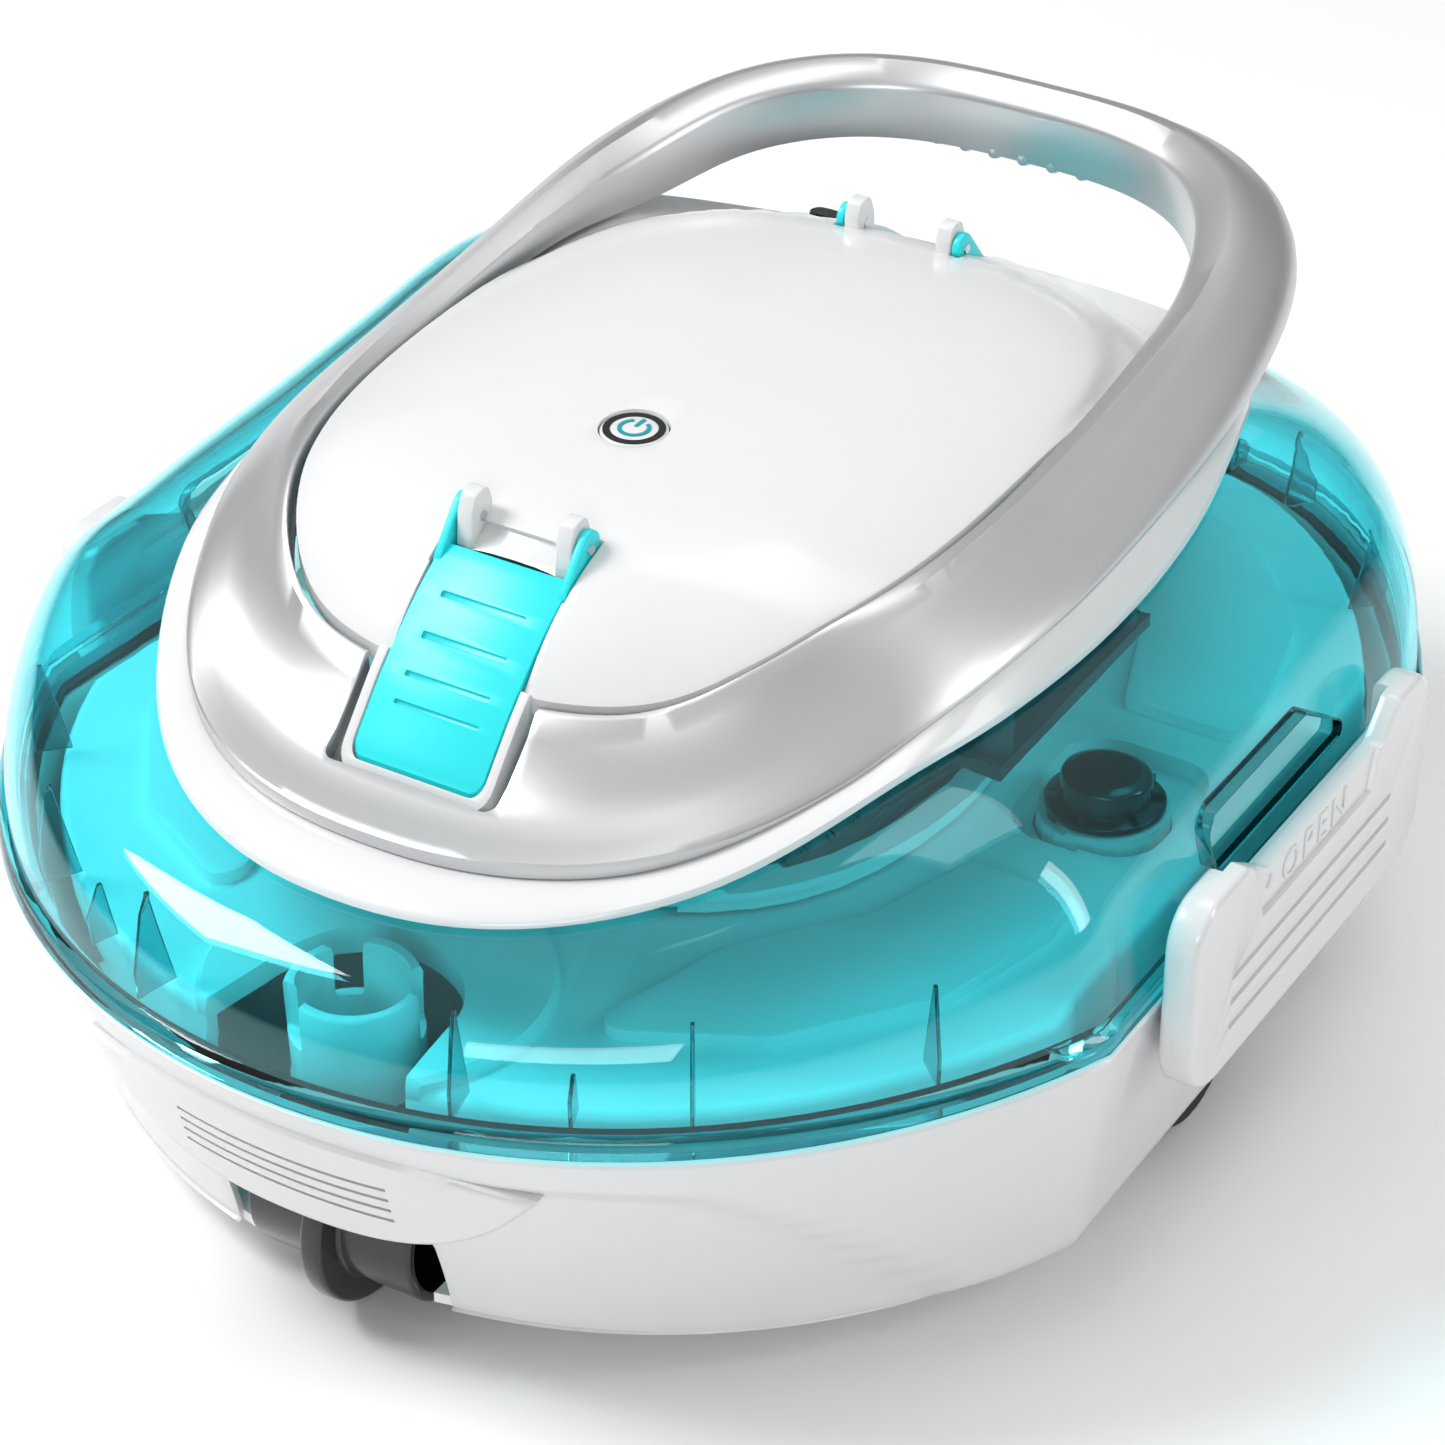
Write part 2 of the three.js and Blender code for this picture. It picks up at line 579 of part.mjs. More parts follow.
function makeLatch(side) {
  const inner = latchFace - latchThickness;
  const outline = [];
  [[1, 1], [-1, 1], [-1, -1], [1, -1]].forEach(([y, z], corner) => {
    for (let i = 0; i <= 3; i++) {
      const turn = (corner + i / 3) * Math.PI / 2;
      outline.push([
        y * (latchHalfLength - latchCorner) + latchCorner * Math.cos(turn),
        (z > 0 ? latchTop - latchCorner : latchBottom + latchCorner) + latchCorner * Math.sin(turn)]);
    }
  });
  const body = prismX(outline, Math.min(side * inner, side * latchFace), Math.max(side * inner, side * latchFace));
  const span = (a, b) => [Math.min(side * a, side * b), Math.max(side * a, side * b)];
  const slab = (a, b, y0, y1, z0, z1) => {
    const [x0, x1] = span(a, b);
    return box([x0, y0, z0], [x1, y1, z1]);
  };
  const knuckles = [-24, 24].map((y) =>
    slab(latchPinOffset - 2.4, inner + 2, y - 10, y + 10, latchPinHeight - 2.8, latchPinHeight + 3));
  const bead = slab(rimFlat + gap, inner + 2, -24, 24, catchHeight, catchHeight + 3.4);
  const step = slab(inner - 1, inner + 4, -34, 34, latchTop - 8, latchTop + 1);
  const grooves = [0, 1, 2].map((i) => slab(latchFace - 0.8, latchFace + 1, -48.6, 48.6,
    72 + 7.4 * i, 73 + 7.4 * i));
  const bore = turnedAboutY(latchPinRadius + gap, side * latchPinOffset, latchPinHeight, 60);
  const knuckleRooms = [-knuckleOffset, knuckleOffset].map((y) =>
    turnedAboutY(5.4, side * latchPinOffset, latchPinHeight, 6.6).translate(0, y, 0));
  return cut(body, [bore, step, ...knuckleRooms, ...grooves], [...knuckles, bead]);
}
sides.forEach(([name, side]) => {
  add(`latch_${name}`, makeLatch(side), white);
  add(`latch_pin_${name}`, turnedAboutY(latchPinRadius, side * latchPinOffset, latchPinHeight, knuckleOffset + 5),
    steel);
});

const screw = () => turnedAbout('z', [[0, 0], [3, 0], [3, 1.8], [1.5, 1.8], [1.5, 14], [0, 14]], 8);
deckPosts.forEach(([x, y], i) => add(`base_screw_${i + 1}`, screw(), steel, [x, y, skirtBottom - 1.8 - gap]));

// ---------------------------------------------------------------- upper body

function makeClearShell() {
  const bandFoot = grow(rim, -0.3);
  const bandTop = grow(rim, -bandInset);
  const arch = (turn, depth) => (s) => {
    const foot = point(grow(bandTop, -depth), s, rimHeight + bandHeight);
    const head = point(grow(trimEdge, -depth), s, (y) => trimEdgeHeight(y) - gap);
    const out = Math.cos(turn) ** 0.9;
    const up = Math.sin(turn) ** 0.9;
    return [mix(head[0], foot[0], out), mix(head[1], foot[1], out),
      mix(foot[2], head[2] - depth * up, up)];
  };
  const outside = [0, 20, 40, 60, 75, 90].map((deg) => arch(THREE.MathUtils.degToRad(deg), 0));
  const inside = [90, 68, 40, 15].map((deg) => arch(THREE.MathUtils.degToRad(deg), clearWall));
  const flange = (s, drop) => {
    const [x, y] = at(grow(trimEdge, -9), s);
    return [x, y, trimEdgeHeight(at(trimEdge, s)[1]) - 2 * gap - drop];
  };
  const body = ring((s) => [
    point(bandFoot, s, rimHeight + gap),
    ...outside.map((make) => make(s)),
    flange(s, 0),
    flange(s, clearWall),
    ...inside.map((make) => make(s)),
    point(grow(rim, -rimLand - gap - clearWall), s, rimHeight + bandHeight - 2),
    point(grow(rim, -rimLand - gap - clearWall), s, sealLedge + 2.4 + gap),
    point(grow(rim, -rimLand - gap), s, sealLedge + 2.4 + gap),
    point(grow(rim, -rimLand - gap), s, rimHeight + gap),
  ]);
  const windows = sides.map(([, side]) => box(
    [side > 0 ? rimFlat - 12 : -rimFlat - 2, -34, catchHeight - gap],
    [side > 0 ? rimFlat + 2 : -rimFlat + 12, 34, catchHeight + 16]));
  return cut(body, windows);
}

// Underside of the handle ring at its inner wall.
const ringUnderside = (y) => crestHeight(y) - mix(ringDepth, gripDepth, ease(y, 30, 120));
const flapNotchFront = 150.6;
const flapNotch = (halfWidth) => box(
  [-halfWidth, -flapNotchFront, 125], [halfWidth, -108, 200]);
// The front of the handle ring sinks in a hollow, and its outer edge stands up from the trim.
const hollow = (y) => ease(-y, 60, 125);
const ringLip = (y) => mix(4, 1, ease(y, -155, -105));

function makeTrimRing() {
  const upper = oval(skirtEdgeHalfWidth + gap, skirtEdgeFront + gap, 170, 2.3, 2.3);
  const upperHeight = (y) => Math.min(ringEdgeHeight(y) - ringLip(y) - gap, trimEdgeHeight(y) + 12);
  const innerEdge = grow(lidOutline, 1);
  const innerHeight = (y) => mix(ringUnderside(y) - 1.5, lidEdgeHeight(y) - 1, ease(y, 40, 90));
  const body = ring((s) => {
    const low = point(trimEdge, s, trimEdgeHeight);
    const high = point(upper, s, upperHeight);
    const inner = point(innerEdge, s, (y) => Math.min(innerHeight(y), ringUnderside(y) - 1));
    const dip = -8.5 * hollow(inner[1]);
    return [
      low,
      [low[0], low[1], low[2] + 1.5],
      high,
      between(high, inner, 0.5, dip),
      inner,
      [inner[0], inner[1], inner[2] - wall],
      between(high, inner, 0.5, dip - wall),
      between([...at(grow(trimEdge, -wall), s), low[2]], high, 0.6, -1.6),
      [...at(grow(trimEdge, -wall), s), low[2]],
    ];
  });
  return cut(body, [flapNotch(tongueHalfWidth + gap)]);
}

function makeHandleRing() {
  const body = ring((s) => {
    const inner = point(crest, s, crestHeight);
    const outer = point(ringEdge, s, ringEdgeHeight);
    const grip = ease(inner[1], -40, 130);
    const crown = mix(-2.5, 6, ease(inner[1], -110, 140));
    const dip = hollow(inner[1]);
    const under = [inner[0], inner[1], ringUnderside(inner[1])];
    const foot = [outer[0], outer[1], outer[2] - ringLip(outer[1])];
    return [
      under,
      inner,
      between(inner, outer, mix(0.16, 0.3, grip), crown + mix(3.4, 1.6, grip) - 4.5 * dip),
      between(inner, outer, mix(0.4, 0.46, grip), mix(1.3, 8.4, grip) - 8.1 * dip),
      between(inner, outer, 0.62, mix(1.5, 8, grip) - 7.6 * dip),
      between(inner, outer, 0.92, mix(0.6, 5, grip) - 2 * dip),
      outer,
      foot,
      between(under, foot, 0.55, mix(0.2, -4, ease(inner[1], 60, 130)) - 7 * dip),
    ];
  });
  return cut(body, [flapNotch(tongueHalfWidth + 1)]);
}

// The flap and its seat follow this line down the slope, drawn for the front.
const slope = new THREE.SplineCurve([
  new THREE.Vector2(-99, 184), new THREE.Vector2(-115, 173.8), new THREE.Vector2(-130.5, 160.4),
  new THREE.Vector2(-139.5, 150.6), new THREE.Vector2(-147.5, 141.3)]);
function slopeBand(from, to, above, below, steps = 6) {
  const outer = [];
  const inner = [];
  for (let i = 0; i <= steps; i++) {
    const t = mix(from, to, i / steps);
    const held = THREE.MathUtils.clamp(t, 0, 1);
    const tangent = slope.getTangent(held);
    const p = slope.getPoint(held).addScaledVector(tangent, (t - held) * slope.getLength());
    outer.push([p.x + tangent.y * above, p.y - tangent.x * above]);
    inner.push([p.x + tangent.y * below, p.y - tangent.x * below]);
  }
  return [...outer, ...inner.reverse()];
}
const facing = (points, end) => points.map(([y, z]) => [-end * y, z]);

const ductDirection = (end) => new THREE.Vector3(0, end * Math.cos(ductSlope), Math.sin(ductSlope));
// Turns a piece made along +Z so that it points out along a duct, from the outlet inwards.
function alongDuct(geometry, end) {
  const turn = new THREE.Quaternion().setFromUnitVectors(Z, ductDirection(end));
  geometry.applyQuaternion(turn);
  return geometry.translate(0, end * ductOutletForward, ductOutletHeight);
}

// The same for the charging socket in the rear slope of the lid.
function alongPort(geometry) {
  const out = new THREE.Vector3(0, Math.cos(portSlope), Math.sin(portSlope));
  geometry.applyQuaternion(new THREE.Quaternion().setFromUnitVectors(Z, out));
  return geometry.translate(...portPlace);
}

// How full the lid is: the power of its fall from the middle to the edge.
const lidFullness = (y) => 3.5 + 1.9 * ease(-y, 40, 100) + 0.9 * ease(y, 40, 100);

function makeLid() {
  const steps = [0.25, 0.48, 0.66, 0.8, 0.91, 1];
  const surface = (s, r, drop) => {
    const [x, y] = at(lidOutline, s);
    const edge = lidEdgeHeight(y);
    return [x * r, y * r, mix(lidTop, edge, r ** lidFullness(y * r)) - drop];
  };
  const body = cap((s) => [
    ...steps.map((r) => surface(s, r, 0)),
    surface(s, 1, 4.5),
    ...[0.975, 0.85, 0.6, 0.3].map((r) => surface(s, r, r > 0.97 ? 4.5 : lidWall)),
  ], [0, 0, lidTop], [0, 0, lidTop - lidWall]);
  const seats = ends.map(([, end]) => prismX(
    facing(slopeBand(0.12, 1.04, 0.2, -7), end), -tongueHalfWidth, tongueHalfWidth));
  const posts = ends.flatMap(([, end]) => [-postOffset, postOffset].map((x) => {
    const y = hingeForward;
    const outline = [[-y - 4, 179], [-y - 3.6, 190], [-y - 1.5, 193.6], [-y + 3, 194],
      [-y + 4.4, 192], [-y + 4.4, 181]];
    return prismX(facing(outline, end), x - postHalfWidth, x + postHalfWidth);
  }));
  const recesses = ends.map(([, end]) => prismX(
    facing(slopeBand(-0.06, 0.995, 9, -flapThickness - gap), end), -flapHalfWidth - 0.8, flapHalfWidth + 0.8));
  const outlets = ends.map(([, end]) => alongDuct(rod('z', ductOutletRadius, -14, 40, 20), end));
  const pocket = [[earLow[0] - 4.4, earLow[1] - 4.4], [earLow[0] - 4.4, lidTop], [earTop[0] + 5, lidTop],
    [earTop[0] + 5, earTop[1] - 6], [earLow[0] + 5, earLow[1] - 4.4]];
  const earPockets = ends.flatMap(([, end]) => [-earX, earX].map((x) =>
    prismX(facing(pocket, end), x - 1.6, x + 1.6)));
  const pinHoles = ends.map(([, end]) =>
    rod('x', flapPinRadius + gap, -30, 30, 10).translate(0, end * hingeForward, hingeHeight));
  const buttonHole = rod('z', buttonRadius + gap, lidTop - 20, lidTop + 5, 20).translate(0, -buttonForward, 0);
  const portHole = alongPort(rod('z', portRadius + gap, -20, 20, 16));
  return cut(toGeometry(toSolid(body).add(toSolid(seats[0])).add(toSolid(seats[1]))
    .subtract(toSolid(recesses[0])).subtract(toSolid(recesses[1]))),
  [...outlets, ...earPockets, ...pinHoles, buttonHole, portHole], posts);
}

const earX = postOffset + postHalfWidth + gap + 1.1;
const earTop = [-hingeForward + 0.6, hingeHeight + 0.6];
const earLow = [-hingeForward - 8.6, hingeHeight - 9.6];

const flapEnd = 0.965;              // along the slope, from the hinge to the lower edge

function makeFlap(end) {
  const plate = prismX(facing(slopeBand(0.07, flapEnd, 0, -flapThickness), end), -flapHalfWidth, flapHalfWidth);
  const ear = (x) => {
    const outline = [];
    for (let i = 0; i <= 5; i++) {
      const turn = mix(-0.78, Math.PI - 0.78, i / 5);
      outline.push([earTop[0] + 4 * Math.cos(turn), earTop[1] + 4 * Math.sin(turn)]);
    }
    for (let i = 0; i <= 5; i++) {
      const turn = mix(Math.PI - 0.78, 2 * Math.PI - 0.78, i / 5);
      outline.push([earLow[0] + 3.4 * Math.cos(turn), earLow[1] + 3.4 * Math.sin(turn)]);
    }
    return prismX(facing(outline, end), x - 1.1, x + 1.1);
  };
  const slots = [0, 1, 2, 3].map((i) => prismX(
    facing(slopeBand(0.235 + 0.135 * i, 0.255 + 0.135 * i, 1, -0.8, 1), end), -12.5, 12.5));
  const bore = rod('x', flapPinRadius + gap, -30, 30, 10).translate(0, end * hingeForward, hingeHeight);
  return cut(plate, [...slots, bore], [ear(-earX), ear(earX)]);
}

add('clear_shell', makeClearShell(), clearTeal);
add('trim_ring', makeTrimRing(), white);
add('handle_ring', makeHandleRing(), silver);
add('top_lid', makeLid(), white);
ends.forEach(([name, end]) => {
  add(`${name}_flap`, makeFlap(end), cyan);
  sides.forEach(([sideName, side]) => {
    const reach = [side * (postOffset - postHalfWidth - 0.4), side * (postOffset + 5.6)];
    add(`${name}_flap_pin_${sideName}`, rod('x', flapPinRadius, Math.min(...reach), Math.max(...reach), 8), steel,
      [0, end * hingeForward, hingeHeight]);
  });
});

// ---------------------------------------------------------------- inside the upper body

function makeDuct(end) {
  const outlet = -14.5;
  const inlet = -ductLength;
  const shape = turnedAbout('z', [
    [ductOutletRadius, outlet], [ductInletRadius, outlet - 26], [ductInletRadius, inlet],
    [ductInletRadius + ductWall, inlet], [ductInletRadius + ductWall, outlet - 26],
    [ductOutletRadius + ductWall, outlet]], 20);
  return alongDuct(shape, end);
}
function makePropeller(end) {
  const hub = rod('z', 4.5, -44, -36, 12);
  const blades = [0, 1, 2].map((i) => {
    const blade = box([3, -4.5, -0.8], [propellerRadius, 4.5, 0.8]);
    blade.rotateX(0.55);
    blade.rotateZ(i * 2 * Math.PI / 3);
    return blade.translate(0, 0, -40);
  });
  return alongDuct(cut(hub, [rod('z', 1.4, -50, -38.5, 8)], blades), end);
}
ends.forEach(([name, end]) => {
  const motorTop = -47;
  add(`${name}_duct`, makeDuct(end), darkGrey);
  add(`${name}_motor`, alongDuct(turnedAbout('z', [
    [0, motorTop - motorLength], [motorRadius - 2, motorTop - motorLength], [motorRadius, motorTop - motorLength + 3],
    [motorRadius, motorTop - 3], [5, motorTop], [0, motorTop]], 16), end), black);
  add(`${name}_motor_shaft`, alongDuct(rod('z', 1, motorTop + gap, -38.9, 8), end), steel);
  add(`${name}_propeller`, makePropeller(end), darkGrey);
});

function makeBatteryBox() {
  const outer = box([-boxHalfWidth, -boxHalfLength, boxBottom], [boxHalfWidth, boxHalfLength, boxBottom + boxHeight]);
  const inner = box([-boxHalfWidth + wall, -boxHalfLength + wall, boxBottom + wall],
    [boxHalfWidth - wall, boxHalfLength - wall, boxBottom + boxHeight + 1]);
  return cut(outer, [inner]);
}
const boxTop = boxBottom + boxHeight;
add('battery_box', makeBatteryBox(), darkGrey);
add('box_seal', cut(box([-boxHalfWidth, -boxHalfLength, boxTop + gap], [boxHalfWidth, boxHalfLength, boxTop + 2]),
  [box([-boxHalfWidth + wall, -boxHalfLength + wall, boxTop], [boxHalfWidth - wall, boxHalfLength - wall, boxTop + 3])]),
rubber);
add('box_lid', box([-boxHalfWidth, -boxHalfLength, boxTop + 2 + gap], [boxHalfWidth, boxHalfLength, boxTop + 5]),
  darkGrey);
add('battery_pack', box([-boxHalfWidth + 8, -boxHalfLength + 8, boxBottom + wall + gap],
  [boxHalfWidth - 8, boxHalfLength - 8, boxTop - 12]), cellWrap);
add('control_board', box([-boxHalfWidth + 12, -boxHalfLength + 10, boxTop - 9], [boxHalfWidth - 12, boxHalfLength - 10,
  boxTop - 7.4]), boardGreen);
add('power_button', turnedAbout('z', [[0, -6], [buttonRadius - 3, -6], [buttonRadius - 3, -2.5], [buttonRadius, -2.5],
  [buttonRadius, 1], [0, 1]], 20), white, [0, -buttonForward, lidTop - 1.6]);
add('charge_port', alongPort(tube('z', portRadius, portBore, -18, 1, 16)), darkGrey);
add('charge_cap', alongPort(turnedAbout('z', [
  [0, -6], [portBore - gap, -6], [portBore - gap, 1 + gap], [portRadius + 1.5, 1 + gap],
  [portRadius + 1.5, 3], [portRadius, 4], [0, 4]], 16)), rubber);

function makeChassis() {
  const plate = box([-chassisHalfWidth, -chassisHalfLength, chassisTop - chassisThickness],
    [chassisHalfWidth, chassisHalfLength, chassisTop]);
  const posts = sides.flatMap(([, side]) => ends.map(([, end]) =>
    rod('z', 5, chassisTop - chassisThickness, 150, 10)
      .translate(side * (chassisHalfWidth - 6), end * (chassisHalfLength - 8), 0)));
  return cut(plate, [], posts);
}
add('chassis', makeChassis(), darkGrey);

function makeTray() {
  const outer = oval(trayHalfWidth, trayHalfLength, trayHalfLength, 2.6);
  const rimOuter = grow(outer, 4);
  return ring((s) => [
    point(outer, s, trayBottom),
    point(outer, s, trayBottom + trayHeight - 2),
    point(rimOuter, s, trayBottom + trayHeight - 2),
    point(rimOuter, s, trayBottom + trayHeight),
    point(grow(outer, -wall), s, trayBottom + trayHeight),
    point(grow(outer, -wall), s, trayBottom),
  ]);
}
add('filter_frame', makeTray(), cyan);
add('filter_mesh', prismZ(stations.map((s) => at(oval(trayHalfWidth - wall - gap, trayHalfLength - wall - gap,
  trayHalfLength - wall - gap, 2.6), s)), trayBottom + 1, trayBottom + 2.2), mesh);

export default cleaner;
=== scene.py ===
"""A cordless pool cleaner: its pieces, finishes and studio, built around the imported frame."""

import json
import math

import bmesh
import bpy
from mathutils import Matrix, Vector


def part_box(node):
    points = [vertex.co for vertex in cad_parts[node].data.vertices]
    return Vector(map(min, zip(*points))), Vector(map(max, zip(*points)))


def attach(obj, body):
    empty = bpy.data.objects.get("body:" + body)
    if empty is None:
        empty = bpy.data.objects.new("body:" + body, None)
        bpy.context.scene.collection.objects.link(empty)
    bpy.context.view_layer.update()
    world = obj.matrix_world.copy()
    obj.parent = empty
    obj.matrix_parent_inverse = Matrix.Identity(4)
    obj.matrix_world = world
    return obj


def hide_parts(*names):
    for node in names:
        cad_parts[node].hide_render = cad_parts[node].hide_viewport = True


bl_info = {
    "name": "Pool Cleaner",
    "version": (1, 0, 0),
    "blender": (4, 5, 0),
    "location": "3D View > Sidebar > Pool Cleaner",
    "description": "Models the shells, rings, latches, flaps and rollers of a cordless pool cleaner",
    "category": "Object",
}

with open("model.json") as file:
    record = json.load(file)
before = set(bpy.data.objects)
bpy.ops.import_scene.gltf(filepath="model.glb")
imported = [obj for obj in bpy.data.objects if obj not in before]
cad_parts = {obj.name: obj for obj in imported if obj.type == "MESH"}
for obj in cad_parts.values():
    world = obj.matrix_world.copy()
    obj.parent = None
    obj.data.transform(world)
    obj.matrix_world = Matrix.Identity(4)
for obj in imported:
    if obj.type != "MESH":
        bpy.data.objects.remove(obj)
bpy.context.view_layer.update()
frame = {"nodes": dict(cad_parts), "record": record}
MM = 0.001


def extent(node, axis):
    """Return how far a frame node reaches from the middle along an axis, in millimetres."""
    low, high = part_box(node)
    return max(abs(low[axis]), abs(high[axis])) / MM


def middle(node, axis):
    """Return how far the middle of a frame node is from the origin along an axis, in millimetres."""
    low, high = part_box(node)
    return abs(low[axis] + high[axis]) / 2 / MM


def height(node, end):
    """Return the lowest (0) or highest (1) level of a frame node, in millimetres."""
    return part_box(node)[end][2] / MM


# ------------------------------------------------------------------ user settings


def length(label, description, millimetres):
    """Make a length property whose default is given in millimetres."""
    return bpy.props.FloatProperty(
        name=label, description=description, default=millimetres * MM,
        min=0.0, unit="LENGTH", subtype="DISTANCE", precision=4)


def colour(label, description, value):
    """Make a colour property."""
    return bpy.props.FloatVectorProperty(
        name=label, description=description, default=value,
        subtype="COLOR", size=3, min=0.0, max=1.0)


class CleanerSizes(bpy.types.PropertyGroup):
    """Sizes of the pieces that are modelled here."""

    rim_length: length("Rim length", "Half length of the rim", extent("base_shell", 1))
    rim_oval: length("Rim oval", "Half width of the rim's oval before its sides are cut flat", 185)
    rim_flat: length("Rim flat", "Half distance between the flat sides", 167.5)
    rim_height: length("Rim height", "Level of the joint between lower and upper body",
                       height("base_shell", 1))
    skirt_foot: length("Skirt foot", "Level of the skirt's lower edge", height("base_shell", 0))
    skirt_tuck: length("Skirt tuck", "How far the skirt draws in, front and rear", 24.5)
    skirt_side_tuck: length("Skirt side tuck", "How far the skirt draws in at the sides", 12.5)
    recess: length("Skirt recess", "Depth of the lower front and rear of the skirt", 3.0)
    wall: length("Wall", "Moulded wall of the white pieces", 3)
    clear_wall: length("Clear wall", "Wall of the clear shell", 2.6)
    band: length("Band", "Height of the upright band at the shell's foot", 7)
    deck_top: length("Deck top", "Level of the floor under the clear shell", 90)
    trim_width: length("Trim width", "Half width of the white trim", extent("trim_ring", 0))
    trim_length: length("Trim length", "Half length of the white trim", extent("trim_ring", 1))
    ring_width: length("Ring width", "Half width of the handle ring", extent("handle_ring", 0))
    ring_front: length("Ring front", "How far the handle ring reaches forward",
                       -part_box("handle_ring")[0][1] / MM)
    ring_rear: length("Ring rear", "How far the grip reaches back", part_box("handle_ring")[1][1] / MM)
    crest_width: length("Crest width", "Half width inside the handle ring", 90.5)
    lid_width: length("Lid width", "Half width of the top lid", extent("top_lid", 0))
    lid_rear: length("Lid rear", "How far the lid reaches back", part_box("top_lid")[1][1] / MM)
    lid_top: length("Lid top", "Level of the middle of the lid", 192)
    flap_width: length("Flap width", "Half width of an outlet flap", 19)
    latch_face: length("Latch face", "Outer face of the latches", extent("latch_right", 0))
    latch_length: length("Latch length", "Half length of a latch", extent("latch_right", 1))
    latch_foot: length("Latch foot", "Level of a latch's lower edge", height("latch_right", 0))
    latch_head: length("Latch head", "Level of a latch's upper edge", height("latch_right", 1))
    roller: length("Roller", "Radius of a roller's middle flange", 29)
    drum: length("Drum", "Radius of a roller's drum", 21)


class CleanerColours(bpy.types.PropertyGroup):
    """Colours of the finishes."""

    white: colour("White", "Glossy white shells", (0.71, 0.715, 0.72))
    deck: colour("Deck white", "White pieces inside the clear shell", (0.84, 0.86, 0.86))
    teal: colour("Teal", "Tint of the clear shell", (0.22, 0.92, 0.985))
    silver: colour("Silver", "Metallic paint of the handle ring", (0.62, 0.625, 0.635))
    cyan: colour("Cyan", "Outlet flaps", (0.015, 0.72, 0.76))
    black: colour("Black", "Rollers and mouldings", (0.012, 0.012, 0.013))
    grey: colour("Grey", "Inner mouldings", (0.05, 0.055, 0.06))
    steel: colour("Steel", "Pins, axles and screws", (0.62, 0.63, 0.65))
    floor: colour("Floor", "Studio floor", (0.90, 0.90, 0.90))


class Millimetres:
    """Read the scene's sizes in millimetres, as plain attributes."""

    def __getattr__(self, name):
        return getattr(bpy.context.scene.cleaner_sizes, name) / MM


S = Millimetres()


# ------------------------------------------------------------------ plan outlines


def mix(a, b, t):
    """Blend two numbers."""
    return a + (b - a) * t


def ease(value, start, end):
    """Go smoothly from 0 at start to 1 at end."""
    t = min(1.0, max(0.0, (value - start) / (end - start)))
    return t * t * (3 - 2 * t)


def through(knots):
    """Return a smooth height along Y through knots of (place, height)."""

    def slope(i):
        before, after = knots[max(i - 1, 0)], knots[min(i + 1, len(knots) - 1)]
        return (after[1] - before[1]) / (after[0] - before[0])

    def level(y):
        if y <= knots[0][0]:
            return knots[0][1]
        if y >= knots[-1][0]:
            return knots[-1][1]
        i = next(k for k, knot in enumerate(knots) if knot[0] > y) - 1
        span = knots[i + 1][0] - knots[i][0]
        t = (y - knots[i][0]) / span
        rise = knots[i + 1][1] - knots[i][1]
        m0, m1 = slope(i) * span, slope(i + 1) * span
        return knots[i][1] + m0 * t + (3 * rise - 2 * m0 - m1) * t**2 + (m0 + m1 - 2 * rise) * t**3

    return level


class Oval:
    """A rounded plan outline; front and rear may differ, and flat cuts it straight at the sides."""

    def __init__(self, width, front, rear=None, power=2.04, rear_power=None, flat=None):
        self.width = width
        self.front = front
        self.rear = front if rear is None else rear
        self.power = power
        self.rear_power = power if rear_power is None else rear_power
        self.flat = flat

    def grown(self, by):
        """Return the outline moved out by a distance."""
        flat = None if self.flat is None else self.flat + by
        return Oval(self.width + by, self.front + by, self.rear + by,
                    self.power, self.rear_power, flat)

    def turned(self, angle):
        """Return the point at an angle from the front, towards +X."""
        ahead = math.cos(angle) > 0
        power = self.power if ahead else self.rear_power
        reach = -self.front if ahead else self.rear
        side, along = math.sin(angle), abs(math.cos(angle))
        x = math.copysign(self.width * abs(side) ** (2 / power), side)
        return x, reach * along ** (2 / power)

    def corner(self):
        """Return the angle at which the flat side begins."""
        return math.asin(min(1.0, self.flat / self.width) ** (self.power / 2))

    def at(self, station):
        """Return the point of a station."""
        zone, v = station
        turn = Oval.shared_turn if self.flat is None else self.corner()
        if zone == "front":
            return self.turned(mix(-turn, turn, v))
        if zone == "rear":
            return self.turned(math.pi + mix(-turn, turn, v))
        side = 1 if zone == "right" else -1
        if self.flat is None:
            return self.turned(mix(turn, math.pi - turn, v) + (0 if side > 0 else math.pi))
        reach = abs(self.turned(turn)[1])
        return side * self.flat, side * mix(-reach, reach, v)


# Outlines with no flat side change zone at the same angle as the rim, so that stations line up.
Oval.shared_turn = math.asin((167.5 / 185) ** 1.02)


def stations(arc, side):
    """Return the stations round an outline: front arc, right side, rear arc, left side."""
    counts = (("front", arc), ("right", side), ("rear", arc), ("left", side))
    return [(zone, i / count) for zone, count in counts for i in range(count)]


FINE = stations(56, 20)


def rim():
    """Return the rim outline."""
    return Oval(S.rim_oval, S.rim_length, flat=S.rim_flat)


def skirt(z, hollow=1.25):
    """Return the skirt outline at a level."""
    t = max(0.0, (z - S.skirt_foot) / (S.rim_height - S.skirt_foot)) ** hollow
    foot_width = S.rim_oval - 0.6 * S.skirt_tuck
    reach = S.rim_length - S.skirt_tuck * (1 - t)
    return Oval(mix(foot_width, S.rim_oval, t), reach, power=2.06,
                flat=S.rim_flat - S.skirt_side_tuck * (1 - t))


def trim_edge():
    """Return the lower edge outline of the white trim."""
    return Oval(S.trim_width, S.trim_length, power=2.2)


def ring_edge():
    """Return the outer edge outline of the handle ring."""
    return Oval(S.ring_width, S.ring_front, S.ring_rear, 2.3, 3.2)


def crest():
    """Return the inner edge outline of the handle ring."""
    return Oval(S.crest_width, 130, 166, 2.7, 3.0)


